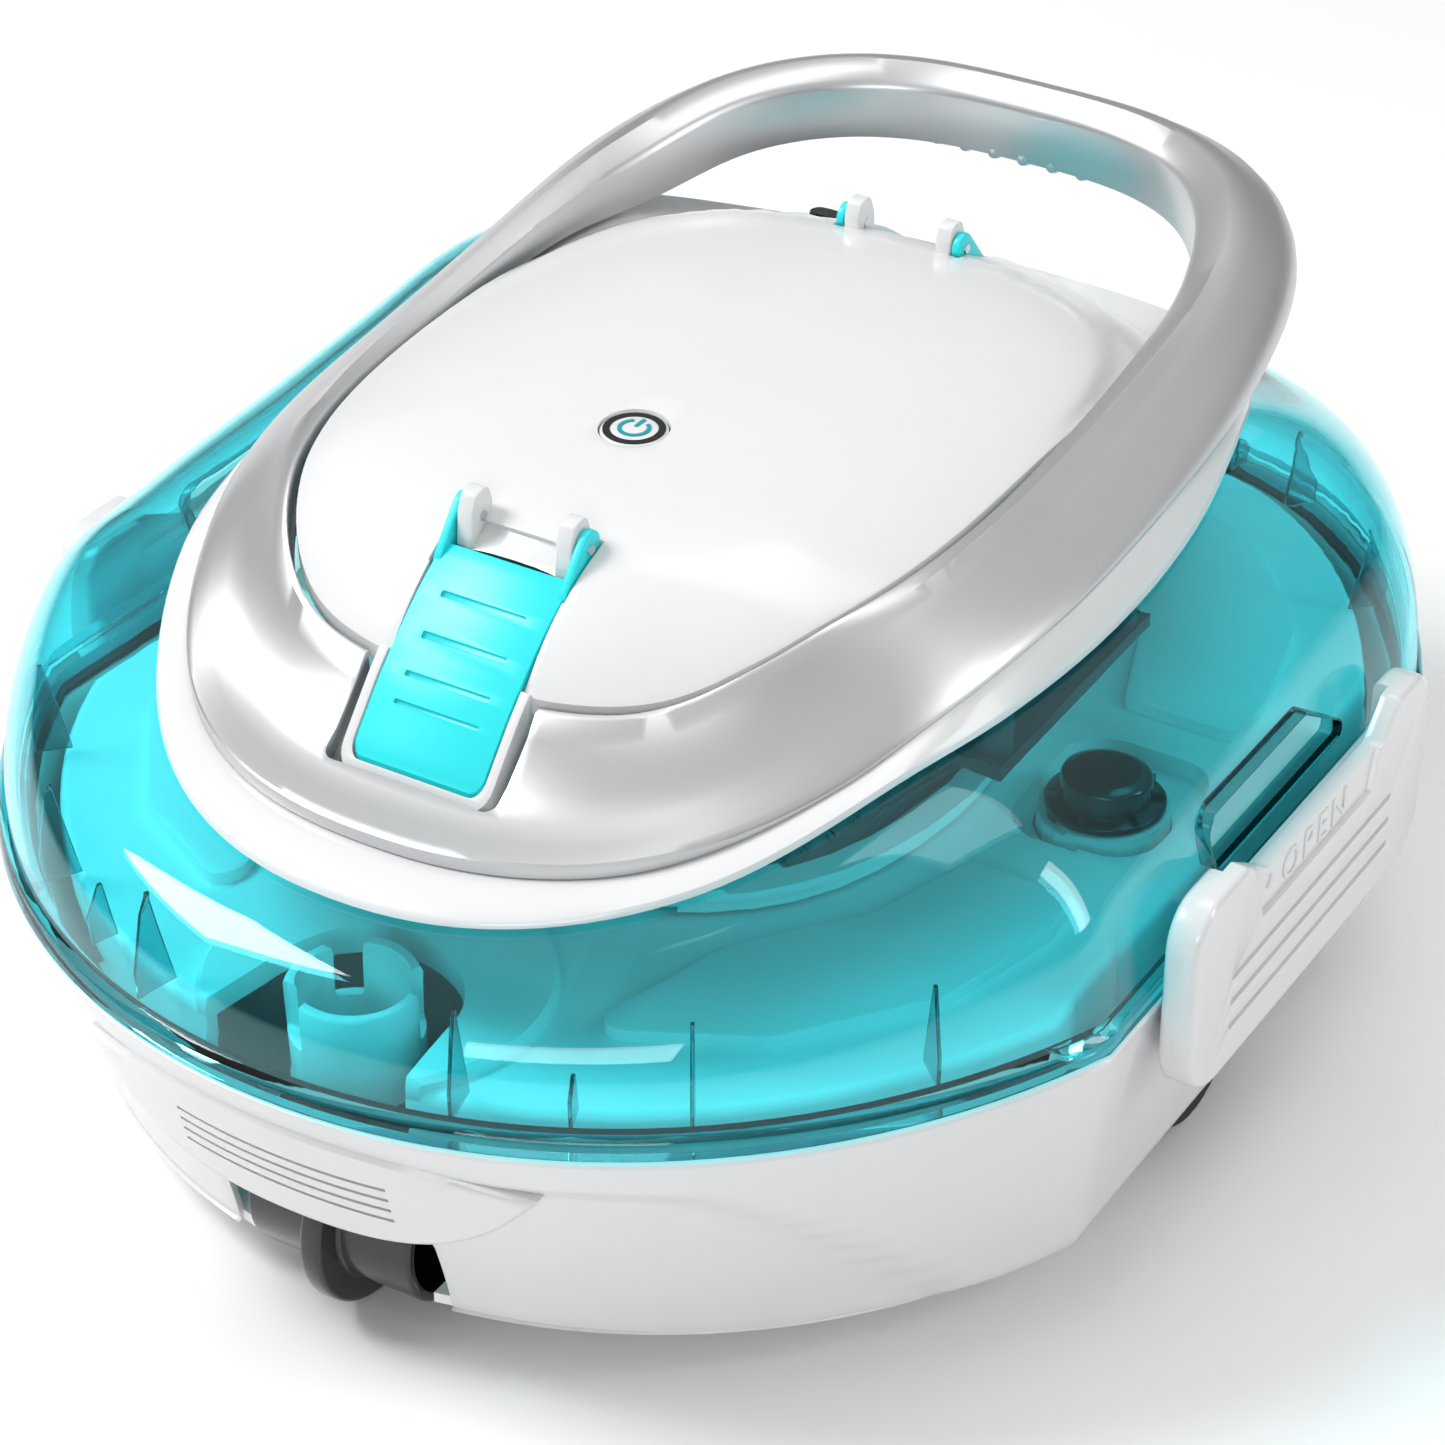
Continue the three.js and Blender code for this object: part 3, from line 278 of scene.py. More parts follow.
def lid_edge():
    """Return the outline of the lid."""
    return Oval(S.lid_width, 128, S.lid_rear, 2.7, 2.6)


trim_level = through([(-183, 127), (-145, 135), (-98, 148.5), (-60, 151), (0, 153),
                      (40, 157), (75, 163), (100, 160), (140, 145), (183, 127)])
ring_level = through([(-168, 138.5), (-145, 141.5), (-107, 150), (-82, 157), (-49, 162),
                      (8, 166), (60, 171), (107, 179), (188, 188)])
crest_level = through([(-130, 161), (-120, 163.5), (-100, 173), (-78, 179), (0, 183),
                       (60, 189), (95, 191), (130, 196), (166, 197)])
lid_level = through([(-128, 161), (-116, 164), (-99, 171.5), (-79, 177), (-30, 180.5), (20, 181.5),
                     (70, 178), (95, 172), (120, 162), (158, 138)])

def hollow(y):
    """Return how much of the front hollow there is in the handle ring at a place along it."""
    return ease(-y, 60, 125)


def ring_lip(y):
    """Return the height of the handle ring's upright outer edge."""
    return mix(4, 1, ease(y, -155, -105))


recess_level = through([(0, 75.5), (92, 75.5), (104, 70), (121, 50), (138, 17), (150, 0)])


def ring_underside(y):
    """Return the level of the handle ring's underside at its inner wall."""
    return crest_level(y) - mix(9, 17, ease(y, 30, 120))


# ------------------------------------------------------------------ modelling by operators


def only(piece):
    """Select one object and make it active."""
    bpy.ops.object.select_all(action="DESELECT")
    piece.select_set(True)
    bpy.context.view_layer.objects.active = piece


def apply(piece, kind, **values):
    """Add a modifier, set it and apply it."""
    only(piece)
    modifier = piece.modifiers.new(kind.title(), kind)
    for key, value in values.items():
        setattr(modifier, key, value)
    bpy.ops.object.modifier_apply(modifier=modifier.name)


def sweep(name, loops, closed=True):
    """Model a skin: a circle is laid on the first loop and extruded on to each next one."""
    count = len(loops[0])
    bpy.ops.object.select_all(action="DESELECT")
    bpy.ops.mesh.primitive_circle_add(vertices=count, radius=1.0)
    piece = bpy.context.object
    piece.name = piece.data.name = name
    bpy.ops.object.mode_set(mode="EDIT")
    work = bmesh.from_edit_mesh(piece.data)
    work.verts.ensure_lookup_table()
    order = list(range(count))
    for index, place in zip(order, loops[0]):
        work.verts[index].co = Vector(place) * MM
    for loop in loops[1:] + ([loops[0]] if closed else []):
        bpy.ops.mesh.extrude_edges_indiv()
        work = bmesh.from_edit_mesh(piece.data)
        work.verts.index_update()
        work.verts.ensure_lookup_table()
        fresh = []
        for index, place in zip(order, loop):
            old = work.verts[index]
            new = next(e.other_vert(old) for e in old.link_edges if e.other_vert(old).select)
            new.co = Vector(place) * MM
            fresh.append(new.index)
        order = fresh
    bmesh.update_edit_mesh(piece.data)
    bpy.ops.mesh.select_all(action="SELECT")
    bpy.ops.mesh.remove_doubles(threshold=1e-6)
    bpy.ops.mesh.normals_make_consistent(inside=False)
    bpy.ops.object.mode_set(mode="OBJECT")
    return piece


# How two outline coordinates and a place along an axis become x, y and z.
AXIS_ORDER = {
    "x": lambda u, v, w: (w, u, v),
    "y": lambda u, v, w: (u, w, v),
    "z": lambda u, v, w: (u, v, w),
}


def slab(name, outline, low, high, axis="z", bevel=0.0, segments=3, angle=40):
    """Model a plate: an outline is filled, extruded along an axis, and its edges rounded."""
    order = AXIS_ORDER[axis]
    bpy.ops.object.select_all(action="DESELECT")
    bpy.ops.mesh.primitive_circle_add(vertices=len(outline), radius=1.0)
    piece = bpy.context.object
    piece.name = piece.data.name = name
    for vert, (u, v) in zip(piece.data.vertices, outline):
        vert.co = Vector(order(u, v, low)) * MM
    bpy.ops.object.mode_set(mode="EDIT")
    bpy.ops.mesh.select_all(action="SELECT")
    bpy.ops.mesh.edge_face_add()
    bpy.ops.mesh.extrude_region_move(
        TRANSFORM_OT_translate={"value": Vector(order(0, 0, high - low)) * MM})
    bpy.ops.mesh.select_all(action="SELECT")
    bpy.ops.mesh.normals_make_consistent(inside=False)
    bpy.ops.object.mode_set(mode="OBJECT")
    if bevel:
        soften(piece, bevel, segments, angle)
    return piece


def block(name, low, high, bevel=0.0, segments=3):
    """Model a box from its corners, with rounded edges."""
    middle = [(a + b) / 2 * MM for a, b in zip(low, high)]
    bpy.ops.object.select_all(action="DESELECT")
    bpy.ops.mesh.primitive_cube_add(size=1.0, location=middle)
    piece = bpy.context.object
    piece.name = piece.data.name = name
    piece.scale = [(b - a) * MM for a, b in zip(low, high)]
    bpy.ops.object.transform_apply(location=True, rotation=True, scale=True)
    if bevel:
        soften(piece, bevel, segments)
    return piece


def lathe(name, profile, centre, axis="z", steps=64, closed=True):
    """Model a turned piece from a profile of (radius, place along the axis)."""
    order = AXIS_ORDER[axis]
    turns = [math.tau * i / steps for i in range(steps)]
    loops = []
    for radius, along in profile:
        places = [order(radius * math.cos(a), radius * math.sin(a), along) for a in turns]
        loops.append([tuple(c + p for c, p in zip(centre, place)) for place in places])
    return sweep(name, loops, closed)


def rod(radius, low, high, centre=(0, 0, 0), axis="z", steps=48):
    """Model a plain turned solid between two places along an axis."""
    profile = [(0, low), (radius, low), (radius, high), (0, high)]
    return lathe("rod", profile, centre, axis, steps, False)


def soften(piece, width, segments=3, angle=40):
    """Round every edge that is sharper than an angle."""
    apply(piece, "BEVEL", width=width * MM, segments=segments, limit_method="ANGLE",
          angle_limit=math.radians(angle), use_clamp_overlap=True)


def carve(piece, cutter, operation="DIFFERENCE"):
    """Cut, join or keep what is common with another solid, which is used up."""
    apply(piece, "BOOLEAN", object=cutter, operation=operation, solver="EXACT")
    bpy.data.objects.remove(cutter, do_unlink=True)


def weld(piece, distance=0.02):
    """Merge points that lie on each other."""
    only(piece)
    bpy.ops.object.mode_set(mode="EDIT")
    bpy.ops.mesh.select_all(action="SELECT")
    bpy.ops.mesh.remove_doubles(threshold=distance * MM)
    bpy.ops.object.mode_set(mode="OBJECT")


def joined(pieces, name):
    """Join several objects into one."""
    bpy.ops.object.select_all(action="DESELECT")
    for piece in pieces:
        piece.select_set(True)
    bpy.context.view_layer.objects.active = pieces[0]
    bpy.ops.object.join()
    pieces[0].name = pieces[0].data.name = name
    return pieces[0]


def lay(piece, origin, turn):
    """Turn a piece by its angles about X, Y and Z, move it to a place and settle it there."""
    only(piece)
    piece.rotation_euler = turn
    piece.location = Vector(origin) * MM
    bpy.ops.object.transform_apply(location=True, rotation=True, scale=True)


def across(side, near, far):
    """Return two distances from the middle as ordered places on one side."""
    return sorted((side * near, side * far))


def deliver(piece, body, slot, finish, *replaced, angle=32):
    """Give a finished piece its shading, finish and body; the slot argument is not used."""
    if not piece.data.polygons:
        raise RuntimeError(f"{piece.name} came out empty")
    only(piece)
    bpy.ops.object.shade_smooth_by_angle(angle=math.radians(angle))
    piece.data.materials.clear()
    piece.data.materials.append(finish)
    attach(piece, body)
    if replaced:
        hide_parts(*replaced)
    return piece


def rounded(points, radii, steps=4):
    """Round the corners of a closed outline; radii is one number or one for each corner."""
    count = len(points)
    radii = [radii] * count if isinstance(radii, (int, float)) else radii
    result = []
    for i, (corner, radius) in enumerate(zip(points, radii)):
        corner = Vector(corner)
        before = (Vector(points[i - 1]) - corner).normalized()
        after = (Vector(points[(i + 1) % count]) - corner).normalized()
        half = before.angle(after) / 2
        if radius <= 0 or half > math.radians(89):
            result.append(tuple(corner))
            continue
        reach = radius / math.tan(half)
        centre = corner + (before + after).normalized() * (radius / math.sin(half))
        start = corner + before * reach - centre
        end = corner + after * reach - centre
        for k in range(steps + 1):
            t = k / steps
            spread = start.angle(end)
            weight = (math.sin((1 - t) * spread), math.sin(t * spread))
            arm = (start * weight[0] + end * weight[1]) / math.sin(spread)
            result.append(tuple(centre + arm))
    return result


# ------------------------------------------------------------------ finishes


def group(name, inputs, outputs):
    """Make an empty shader node group with named sockets."""
    tree = bpy.data.node_groups.new(name, "ShaderNodeTree")
    for label, value in inputs:
        socket = tree.interface.new_socket(label, in_out="INPUT", socket_type="NodeSocketFloat")
        socket.default_value = value
    for label in outputs:
        tree.interface.new_socket(label, in_out="OUTPUT", socket_type="NodeSocketFloat")
    return tree, tree.nodes.new("NodeGroupInput"), tree.nodes.new("NodeGroupOutput")


def noise(tree, source, scale, detail=4.0, rough=0.5):
    """Add a noise texture on object coordinates."""
    place = tree.nodes.new("ShaderNodeTexCoord")
    node = tree.nodes.new("ShaderNodeTexNoise")
    node.inputs["Detail"].default_value = detail
    node.inputs["Roughness"].default_value = rough
    tree.links.new(place.outputs["Object"], node.inputs["Vector"])
    if source is None:
        node.inputs["Scale"].default_value = scale
    else:
        tree.links.new(source, node.inputs["Scale"])
    return node.outputs["Fac"]


def sums(tree, operation, first, second, third=None):
    """Add a math node; each input is a socket or a number."""
    node = tree.nodes.new("ShaderNodeMath")
    node.operation = operation
    for socket, value in zip(node.inputs, (first, second, third)):
        if value is None:
            continue
        if isinstance(value, (int, float)):
            socket.default_value = value
        else:
            tree.links.new(value, socket)
    return node.outputs[0]


def moulding_group():
    """Moulded surface: fine texture height, and roughness that drifts with the flow of the resin."""
    tree, taken, given = group(
        "Moulded surface",
        [("Grain Scale", 2200.0), ("Roughness", 0.3), ("Drift", 0.05)],
        ["Roughness", "Height"])
    fine = noise(tree, taken.outputs["Grain Scale"], 0, 3.0)
    broad = noise(tree, None, 14.0, 2.0)
    swing = sums(tree, "SUBTRACT", broad, 0.5)
    rough = sums(tree, "MULTIPLY_ADD", swing, taken.outputs["Drift"], taken.outputs["Roughness"])
    tree.links.new(rough, given.inputs["Roughness"])
    tree.links.new(fine, given.inputs["Height"])
    return tree


def handling_group():
    """Handling marks: soft smudges and sparse dust, as masks."""
    tree, taken, given = group(
        "Handling marks", [("Smudge Scale", 22.0), ("Dust Scale", 900.0)], ["Smudge", "Dust"])
    smudge = noise(tree, taken.outputs["Smudge Scale"], 0, 5.0, 0.6)
    spread = sums(tree, "MULTIPLY", sums(tree, "SUBTRACT", smudge, 0.5), 3.0)
    soft = sums(tree, "SMOOTH_MIN", spread, 1.0, 0.2)
    tree.links.new(sums(tree, "MAXIMUM", soft, 0.0), given.inputs["Smudge"])
    dust = noise(tree, taken.outputs["Dust Scale"], 0, 2.0)
    tree.links.new(sums(tree, "GREATER_THAN", dust, 0.74), given.inputs["Dust"])
    return tree


def surface(name, base, rough=0.3, metallic=0.0, coat=0.0, coat_rough=0.08, grain=0.02,
            grain_scale=2200.0, drift=0.06, shade=0.94, smudge=1.0):
    """Make an opaque finish from the shared groups."""
    material = bpy.data.materials.new(name)
    material.use_nodes = True
    tree = material.node_tree
    shader = tree.nodes["Principled BSDF"]
    shader.inputs["Metallic"].default_value = metallic
    shader.inputs["Coat Weight"].default_value = coat
    shader.inputs["Coat Roughness"].default_value = coat_rough
    skin = tree.nodes.new("ShaderNodeGroup")
    skin.node_tree = bpy.data.node_groups["Moulded surface"]
    skin.inputs["Grain Scale"].default_value = grain_scale
    skin.inputs["Roughness"].default_value = rough
    skin.inputs["Drift"].default_value = drift
    marks = tree.nodes.new("ShaderNodeGroup")
    marks.node_tree = bpy.data.node_groups["Handling marks"]
    blend = tree.nodes.new("ShaderNodeMix")
    blend.data_type = "RGBA"
    blend.inputs["A"].default_value = (*base, 1)
    blend.inputs["B"].default_value = (*(c * shade for c in base), 1)
    tinted = sums(tree, "MULTIPLY", marks.outputs["Smudge"], 0.6 * smudge)
    tree.links.new(tinted, blend.inputs["Factor"])
    tree.links.new(blend.outputs["Result"], shader.inputs["Base Color"])
    rougher = sums(tree, "MULTIPLY_ADD", marks.outputs["Smudge"], 0.05 * smudge, skin.outputs["Roughness"])
    tree.links.new(rougher, shader.inputs["Roughness"])
    bump = tree.nodes.new("ShaderNodeBump")
    bump.inputs["Strength"].default_value = grain
    bump.inputs["Distance"].default_value = 0.0004
    tree.links.new(skin.outputs["Height"], bump.inputs["Height"])
    tree.links.new(bump.outputs["Normal"], shader.inputs["Normal"])
    material.diffuse_color = (*base, 1)
    return material


LAMP_TINT = 0.35  # how much of the tint lamp light takes on as it passes through


def clear_finish(name, tint, rough=0.02):
    """Make a clear tinted finish that lets the lamps through to what is behind it."""
    material = bpy.data.materials.new(name)
    material.use_nodes = True
    tree = material.node_tree
    shader = tree.nodes["Principled BSDF"]
    output = tree.nodes["Material Output"]
    shader.inputs["Base Color"].default_value = (*tint, 1)
    shader.inputs["Transmission Weight"].default_value = 1.0
    shader.inputs["IOR"].default_value = 1.46
    skin = tree.nodes.new("ShaderNodeGroup")
    skin.node_tree = bpy.data.node_groups["Moulded surface"]
    skin.inputs["Roughness"].default_value = rough
    skin.inputs["Drift"].default_value = 0.02
    tree.links.new(skin.outputs["Roughness"], shader.inputs["Roughness"])
    passing = tree.nodes.new("ShaderNodeBsdfTransparent")
    passing.inputs["Color"].default_value = (*(c ** LAMP_TINT for c in tint), 1)
    path = tree.nodes.new("ShaderNodeLightPath")
    either = sums(tree, "MAXIMUM", path.outputs["Is Shadow Ray"], path.outputs["Is Diffuse Ray"])
    blend = tree.nodes.new("ShaderNodeMixShader")
    tree.links.new(either, blend.inputs[0])
    tree.links.new(shader.outputs[0], blend.inputs[1])
    tree.links.new(passing.outputs[0], blend.inputs[2])
    tree.links.new(blend.outputs[0], output.inputs["Surface"])
    material.diffuse_color = (*tint, 0.5)
    return material


def net_finish(name, base):
    """Make a woven net: threads both ways, with open holes."""
    material = surface(name, base, rough=0.7, grain=0.1, grain_scale=900.0)
    tree = material.node_tree
    shader = tree.nodes["Principled BSDF"]
    place = tree.nodes.new("ShaderNodeTexCoord")
    threads = []
    for axis in ("X", "Y"):
        wave = tree.nodes.new("ShaderNodeTexWave")
        wave.wave_type = "BANDS"
        wave.bands_direction = axis
        wave.inputs["Scale"].default_value = 160.0
        tree.links.new(place.outputs["Object"], wave.inputs["Vector"])
        threads.append(sums(tree, "GREATER_THAN", wave.outputs["Fac"], 0.45))
    tree.links.new(sums(tree, "MAXIMUM", *threads), shader.inputs["Alpha"])
    return material


def make_finishes():
    """Build the shared groups and every finish."""
    moulding_group()
    handling_group()
    c = bpy.context.scene.cleaner_colours
    return {
        "white": surface("White gloss", c.white, 0.22, coat=0.25, grain=0.015),
        "deck": surface("White inner", c.deck, 0.42, grain=0.04, smudge=0.5),
        "teal": clear_finish("Clear teal", c.teal),
        # The edge finish is the clear teal darkened to 0.55 and made rougher. This is painted shade: it
        # stands in for the dark look that clear plastic takes on when seen edge-on.
        "edge": clear_finish("Clear teal edge", tuple(v * 0.55 for v in c.teal), 0.12),
        "silver": surface("Silver paint", c.silver, 0.36, metallic=0.8, coat=0.2, coat_rough=0.12,
                          grain=0.03, grain_scale=3200.0, drift=0.03, smudge=0.3),
        "cyan": surface("Cyan moulding", c.cyan, 0.34, grain=0.03),
        "black": surface("Black moulding", c.black, 0.22, coat=0.3, grain=0.02, shade=1.3),
        "grey": surface("Grey moulding", c.grey, 0.45, grain=0.08, shade=1.2),
        "rubber": surface("Rubber", (0.02, 0.02, 0.021), 0.75, grain=0.15, grain_scale=1500.0,
                          shade=1.4),
        "steel": surface("Steel", c.steel, 0.24, metallic=1.0, grain=0.05, grain_scale=600.0),
        "net": net_finish("Filter net", (0.34, 0.38, 0.40)),
        "board": surface("Circuit board", (0.01, 0.12, 0.05), 0.4, grain=0.1, grain_scale=400.0),
        "cells": surface("Cell wrap", (0.03, 0.08, 0.3), 0.35, coat=0.3),
        "black_print": surface("Black print", (0.008, 0.008, 0.009), 0.4),
        "teal_print": surface("Teal print", (0.0, 0.30, 0.34), 0.4),
    }


FINISH = {}


# ------------------------------------------------------------------ lower body


def skirt_loop(z, out=0.0, inner=False):
    """Return a loop of the skirt at a level, with its soft recess at the front and rear."""
    outline = skirt(z).grown(out)
    loop = []
    for station in FINE:
        x, y = outline.at(station)
        if not inner:
            edge = recess_level(abs(x))
            depth = S.recess * (1 - ease(z, edge - 6, edge + 1)) * ease(abs(y), 88, 104)
            y -= math.copysign(depth, y)
        loop.append((x, y, z))
    return loop


def level_loop(outline, z):
    """Return an outline as a loop at one level."""
    return [(*outline.at(station), z) for station in FINE]


NOTCH_HALF, NOTCH_TOP = 33, 45


def notch_cutter(end):
    """Model the cutter for the roller notch, with rounded upper corners."""
    outline = [(NOTCH_HALF, -5), (NOTCH_HALF, NOTCH_TOP), (-NOTCH_HALF, NOTCH_TOP), (-NOTCH_HALF, -5)]
    outline = rounded(outline, [0, 6, 6, 0], 5)
    return slab("cutter", outline, *sorted((end * 150, end * 240)), axis="y")


LATCH_PIN_X = middle("latch_pin_left", 0)
LATCH_PIN_Z = (height("latch_pin_left", 0) + height("latch_pin_left", 1)) / 2
KNUCKLE_Y = 46


def model_base_shell():
    """Model the white skirt with its rim and roller notches."""
    foot, top = S.skirt_foot, S.rim_height
    loops = [level_loop(skirt(foot).grown(-2.2), foot)]
    loops += [skirt_loop(foot + 0.6, -0.5), skirt_loop(foot + 1.8)]
    steps = 56
    loops += [skirt_loop(mix(foot + 4, top - 1.2, i / steps)) for i in range(steps + 1)]
    loops += [level_loop(rim().grown(-0.3), top - 0.3), level_loop(rim().grown(-1.0), top)]
    loops += [level_loop(rim().grown(-5), top), level_loop(rim().grown(-5), 82)]
    loops += [level_loop(rim().grown(-10), 82), level_loop(rim().grown(-10), 78)]
    loops += [skirt_loop(z, -S.wall - 2.4, True) for z in (66, 40, foot + 1)]
    loops += [level_loop(skirt(foot).grown(-S.wall - 2.2), foot)]
    piece = sweep("base_shell_skin", loops)
    for end in (-1, 1):
        carve(piece, notch_cutter(end))
    for side in (-1, 1):
        for y in (-KNUCKLE_Y, KNUCKLE_Y):
            profile = [(0, y - 6), (3.4, y - 6), (3.9, y - 5.4), (3.9, y + 5.4), (3.4, y + 6), (0, y + 6)]
            knuckle = lathe("knuckle", profile, (side * LATCH_PIN_X, 0, LATCH_PIN_Z), "y", 32, False)
            near, far = across(side, 160, LATCH_PIN_X)
            web = block("web", (near, y - 5.6, 60.4), (far, y + 5.6, 67.6))
            carve(piece, knuckle, "UNION")
            carve(piece, web, "UNION")
    weld(piece)
    soften(piece, 0.9, 2, 58)
    return deliver(piece, "base", "white_shell", FINISH["white"], "base_shell")


def model_bumper(end):
    """Model one leaf-shaped bumper plate with four long grooves."""
    name = "front" if end < 0 else "rear"
    half, foot, top, tip = 67.5, 45, 80, 72
    columns, rows = 72, 20
    gridded = []
    for k in range(rows + 1):
        v = k / rows
        row = []
        for i in range(columns + 1):
            x = mix(-half, half, i / columns)
            u = abs(x / half)
            high = mix(top, tip, u**3)
            low = mix(foot, tip, u**3.4)
            z = mix(low, high, v)
            t = (z - S.skirt_foot) / (S.rim_height - S.skirt_foot)
            reach = S.rim_length - S.skirt_tuck * (1 - t)
            width = mix(S.rim_oval - 0.6 * S.skirt_tuck, S.rim_oval, t)
            y = reach * (1 - (abs(x) / width) ** 2.06) ** (1 / 2.06)
            edge = min(v, 1 - v) * (high - low)
            round_off = 1.6 * (1 - min(1.0, edge / 2.2)) ** 2
            proud = 0.8 + 2.6 * (1 - v) * (1 - u**4)
            row.append((x, end * (y + proud - round_off), z))
        gridded.append(row)
    back = [[(x, y - end * 3.4, z) for x, y, z in row] for row in gridded]
    piece = grid_shell(f"{name}_bumper_plate", gridded, back)
    for i in range(4):
        z = 68.4 - 3.87 * i
        near, far = across(end, 190, 225)
        groove = block("groove", (-31.4, near, z - 0.55), (31.4, far, z + 0.55))
        core = [skirt(z).grown(0.7).at(station) for station in FINE]
        carve(groove, slab("core", core, z - 2, z + 2))
        carve(piece, groove)
    return deliver(piece, "base", "white_shell", FINISH["white"], f"{name}_bumper")


def grid_shell(name, outer, inner):
    """Model a plate from two matching grids of points, closed round its edge."""
    rows, columns = len(outer), len(outer[0])
    bpy.ops.object.select_all(action="DESELECT")
    bpy.ops.mesh.primitive_grid_add(x_subdivisions=columns - 1, y_subdivisions=rows - 1, size=1.0)
    piece = bpy.context.object
    piece.name = piece.data.name = name
    places = [point for row in outer for point in row]
    for vert, place in zip(piece.data.vertices, places):
        vert.co = Vector(place) * MM
    bpy.ops.object.mode_set(mode="EDIT")
    bpy.ops.mesh.select_all(action="SELECT")
    bpy.ops.mesh.duplicate()
    work = bmesh.from_edit_mesh(piece.data)
    fresh = [vert for vert in work.verts if vert.select]
    for vert, place in zip(fresh, [point for row in inner for point in row]):
        vert.co = Vector(place) * MM
    bmesh.update_edit_mesh(piece.data)
    bpy.ops.mesh.select_all(action="DESELECT")
    bpy.ops.mesh.select_non_manifold()
    bpy.ops.mesh.bridge_edge_loops()
    bpy.ops.mesh.select_all(action="SELECT")
    bpy.ops.mesh.remove_doubles(threshold=1e-6)
    bpy.ops.mesh.normals_make_consistent(inside=False)
    bpy.ops.object.mode_set(mode="OBJECT")
    return piece


AXLE_Y = middle("front_roller", 1)
HOUSING_Y = AXLE_Y + 3
INLET_X = middle("inlet_cup_left", 0)


def model_deck():
    """Model the white floor under the clear shell, with roller housings and inlet cups."""
    top = S.deck_top
    outer = rim().grown(-17.5)
    inner = Oval(82, 106, power=2.6)
    loops = [level_loop(outer.grown(-0.6), 72), level_loop(outer, 72.6)]
    loops += [level_loop(outer.grown(-3 * (1 - math.cos(a))), top - 3 + 3 * math.sin(a))
              for a in (i * math.pi / 10 for i in range(6))]
    loops += [level_loop(inner, top), level_loop(inner, top - 10)]
    loops += [level_loop(inner.grown(3), top - 10), level_loop(inner.grown(3), top - 3)]
    loops += [level_loop(outer.grown(-3.6), top - 3), level_loop(outer.grown(-3.6), 72)]
    piece = sweep("base_deck_skin", loops)
    for end in (-1, 1):
        profile = [(0, top - 2), (45, top - 2), (45, top + 2.2), (43.5, top + 3.6), (0, top + 3.6)]
        pad = lathe("pad", profile, (0, end * 165, 0), steps=72, closed=False)
        levels = ((-0.05, top - 3), (-0.05, top + 1), (-2.2, top + 8))
        keep = sweep("keep", [level_loop(outer.grown(by), z) for by, z in levels], False)
        fill(keep)
        carve(pad, keep, "INTERSECT")
        carve(piece, pad, "UNION")
    corner = [(52, 158), (96, 136), (124, 100), (133, 62), (133, 44), (100, 44), (90, 78), (66, 108)]
    for side in (-1, 1):
        for end in (-1, 1):
            step = rounded([(side * x, end * y) for x, y in corner], [6, 10, 10, 6, 3, 3, 14, 6], 4)
            carve(piece, slab("step", step, top - 1.5, top + 3.4, bevel=1.0, segments=2), "UNION")
    for side in (-1, 1):
        plan = rounded([(side * 93, -25), (side * 140, -25), (side * 140, 33), (side * 93, 33)], 15, 6)
        carve(piece, slab("well_floor", plan, top - 8, top - 2.5), "UNION")
    for end in (-1, 1):
        carve(piece, rod(27, 60, top + 9, (0, end * HOUSING_Y, 0)))
        mouth = [(-27, end * HOUSING_Y), (27, end * HOUSING_Y), (31, end * 205), (-31, end * 205)]
        carve(piece, slab("mouth", mouth, 60, top + 9))
    for side in (-1, 1):
        plan = rounded([(side * 96, -22), (side * 137, -22), (side * 137, 30), (side * 96, 30)], 13, 6)
        carve(piece, slab("well", plan, top - 5.5, top + 9))
        carve(piece, rod(17.9, 30, top + 5, (side * INLET_X, 0, 0)))
    weld(piece)
    soften(piece, 0.9, 2, 50)
    housings = []
    for end in (-1, 1):
        housing = lathe("housing", [(14, 70), (17, 70), (17.4, 97), (16.8, 98), (14.6, 98), (14, 97)],
                        (0, end * HOUSING_Y, 0), steps=64)
        for turn in (0.5, 2.3, 4.1):
            x, y = 17 * math.cos(turn), end * HOUSING_Y + 17 * math.sin(turn)
            carve(housing, block("slot", (x - 5, y - 5, 84), (x + 5, y + 5, 110), 1.2))
        soften(housing, 0.5, 2, 50)
        housings.append(housing)
    piece = joined([piece, *housings], "base_deck_skin")
    return deliver(piece, "base", "white_shell", FINISH["deck"], "base_deck")


def fill(piece):
    """Close the open ends of a skin with faces."""
    only(piece)
    bpy.ops.object.mode_set(mode="EDIT")
    bpy.ops.mesh.select_all(action="DESELECT")
    bpy.ops.mesh.select_non_manifold()
    bpy.ops.mesh.edge_face_add()
    bpy.ops.mesh.select_all(action="SELECT")
    bpy.ops.mesh.normals_make_consistent(inside=False)
    bpy.ops.object.mode_set(mode="OBJECT")


def model_roller(end):
    """Model one black roller: a drum with open bowls and a middle flange."""
    name = "front" if end < 0 else "rear"
    profile = rounded(
        [(3.4, -23), (8, -23), (8, -6), (18, -6), (18, -25), (S.drum, -25), (S.drum, -3.2),
         (S.roller, -3.2), (S.roller, 3.2), (S.drum, 3.2), (S.drum, 25), (18, 25), (18, 6), (8, 6),
         (8, 23), (3.4, 23)],
        [0, 0.8, 1.5, 1.5, 0.8, 1.2, 1.2, 1.5, 1.5, 1.2, 1.2, 0.8, 1.5, 1.5, 0.8, 0], 3)
    piece = lathe(f"{name}_roller_body", profile, (0, end * AXLE_Y, S.roller), axis="x", steps=72)
    return deliver(piece, f"{name}_roller", "black_roller", FINISH["black"], f"{name}_roller")


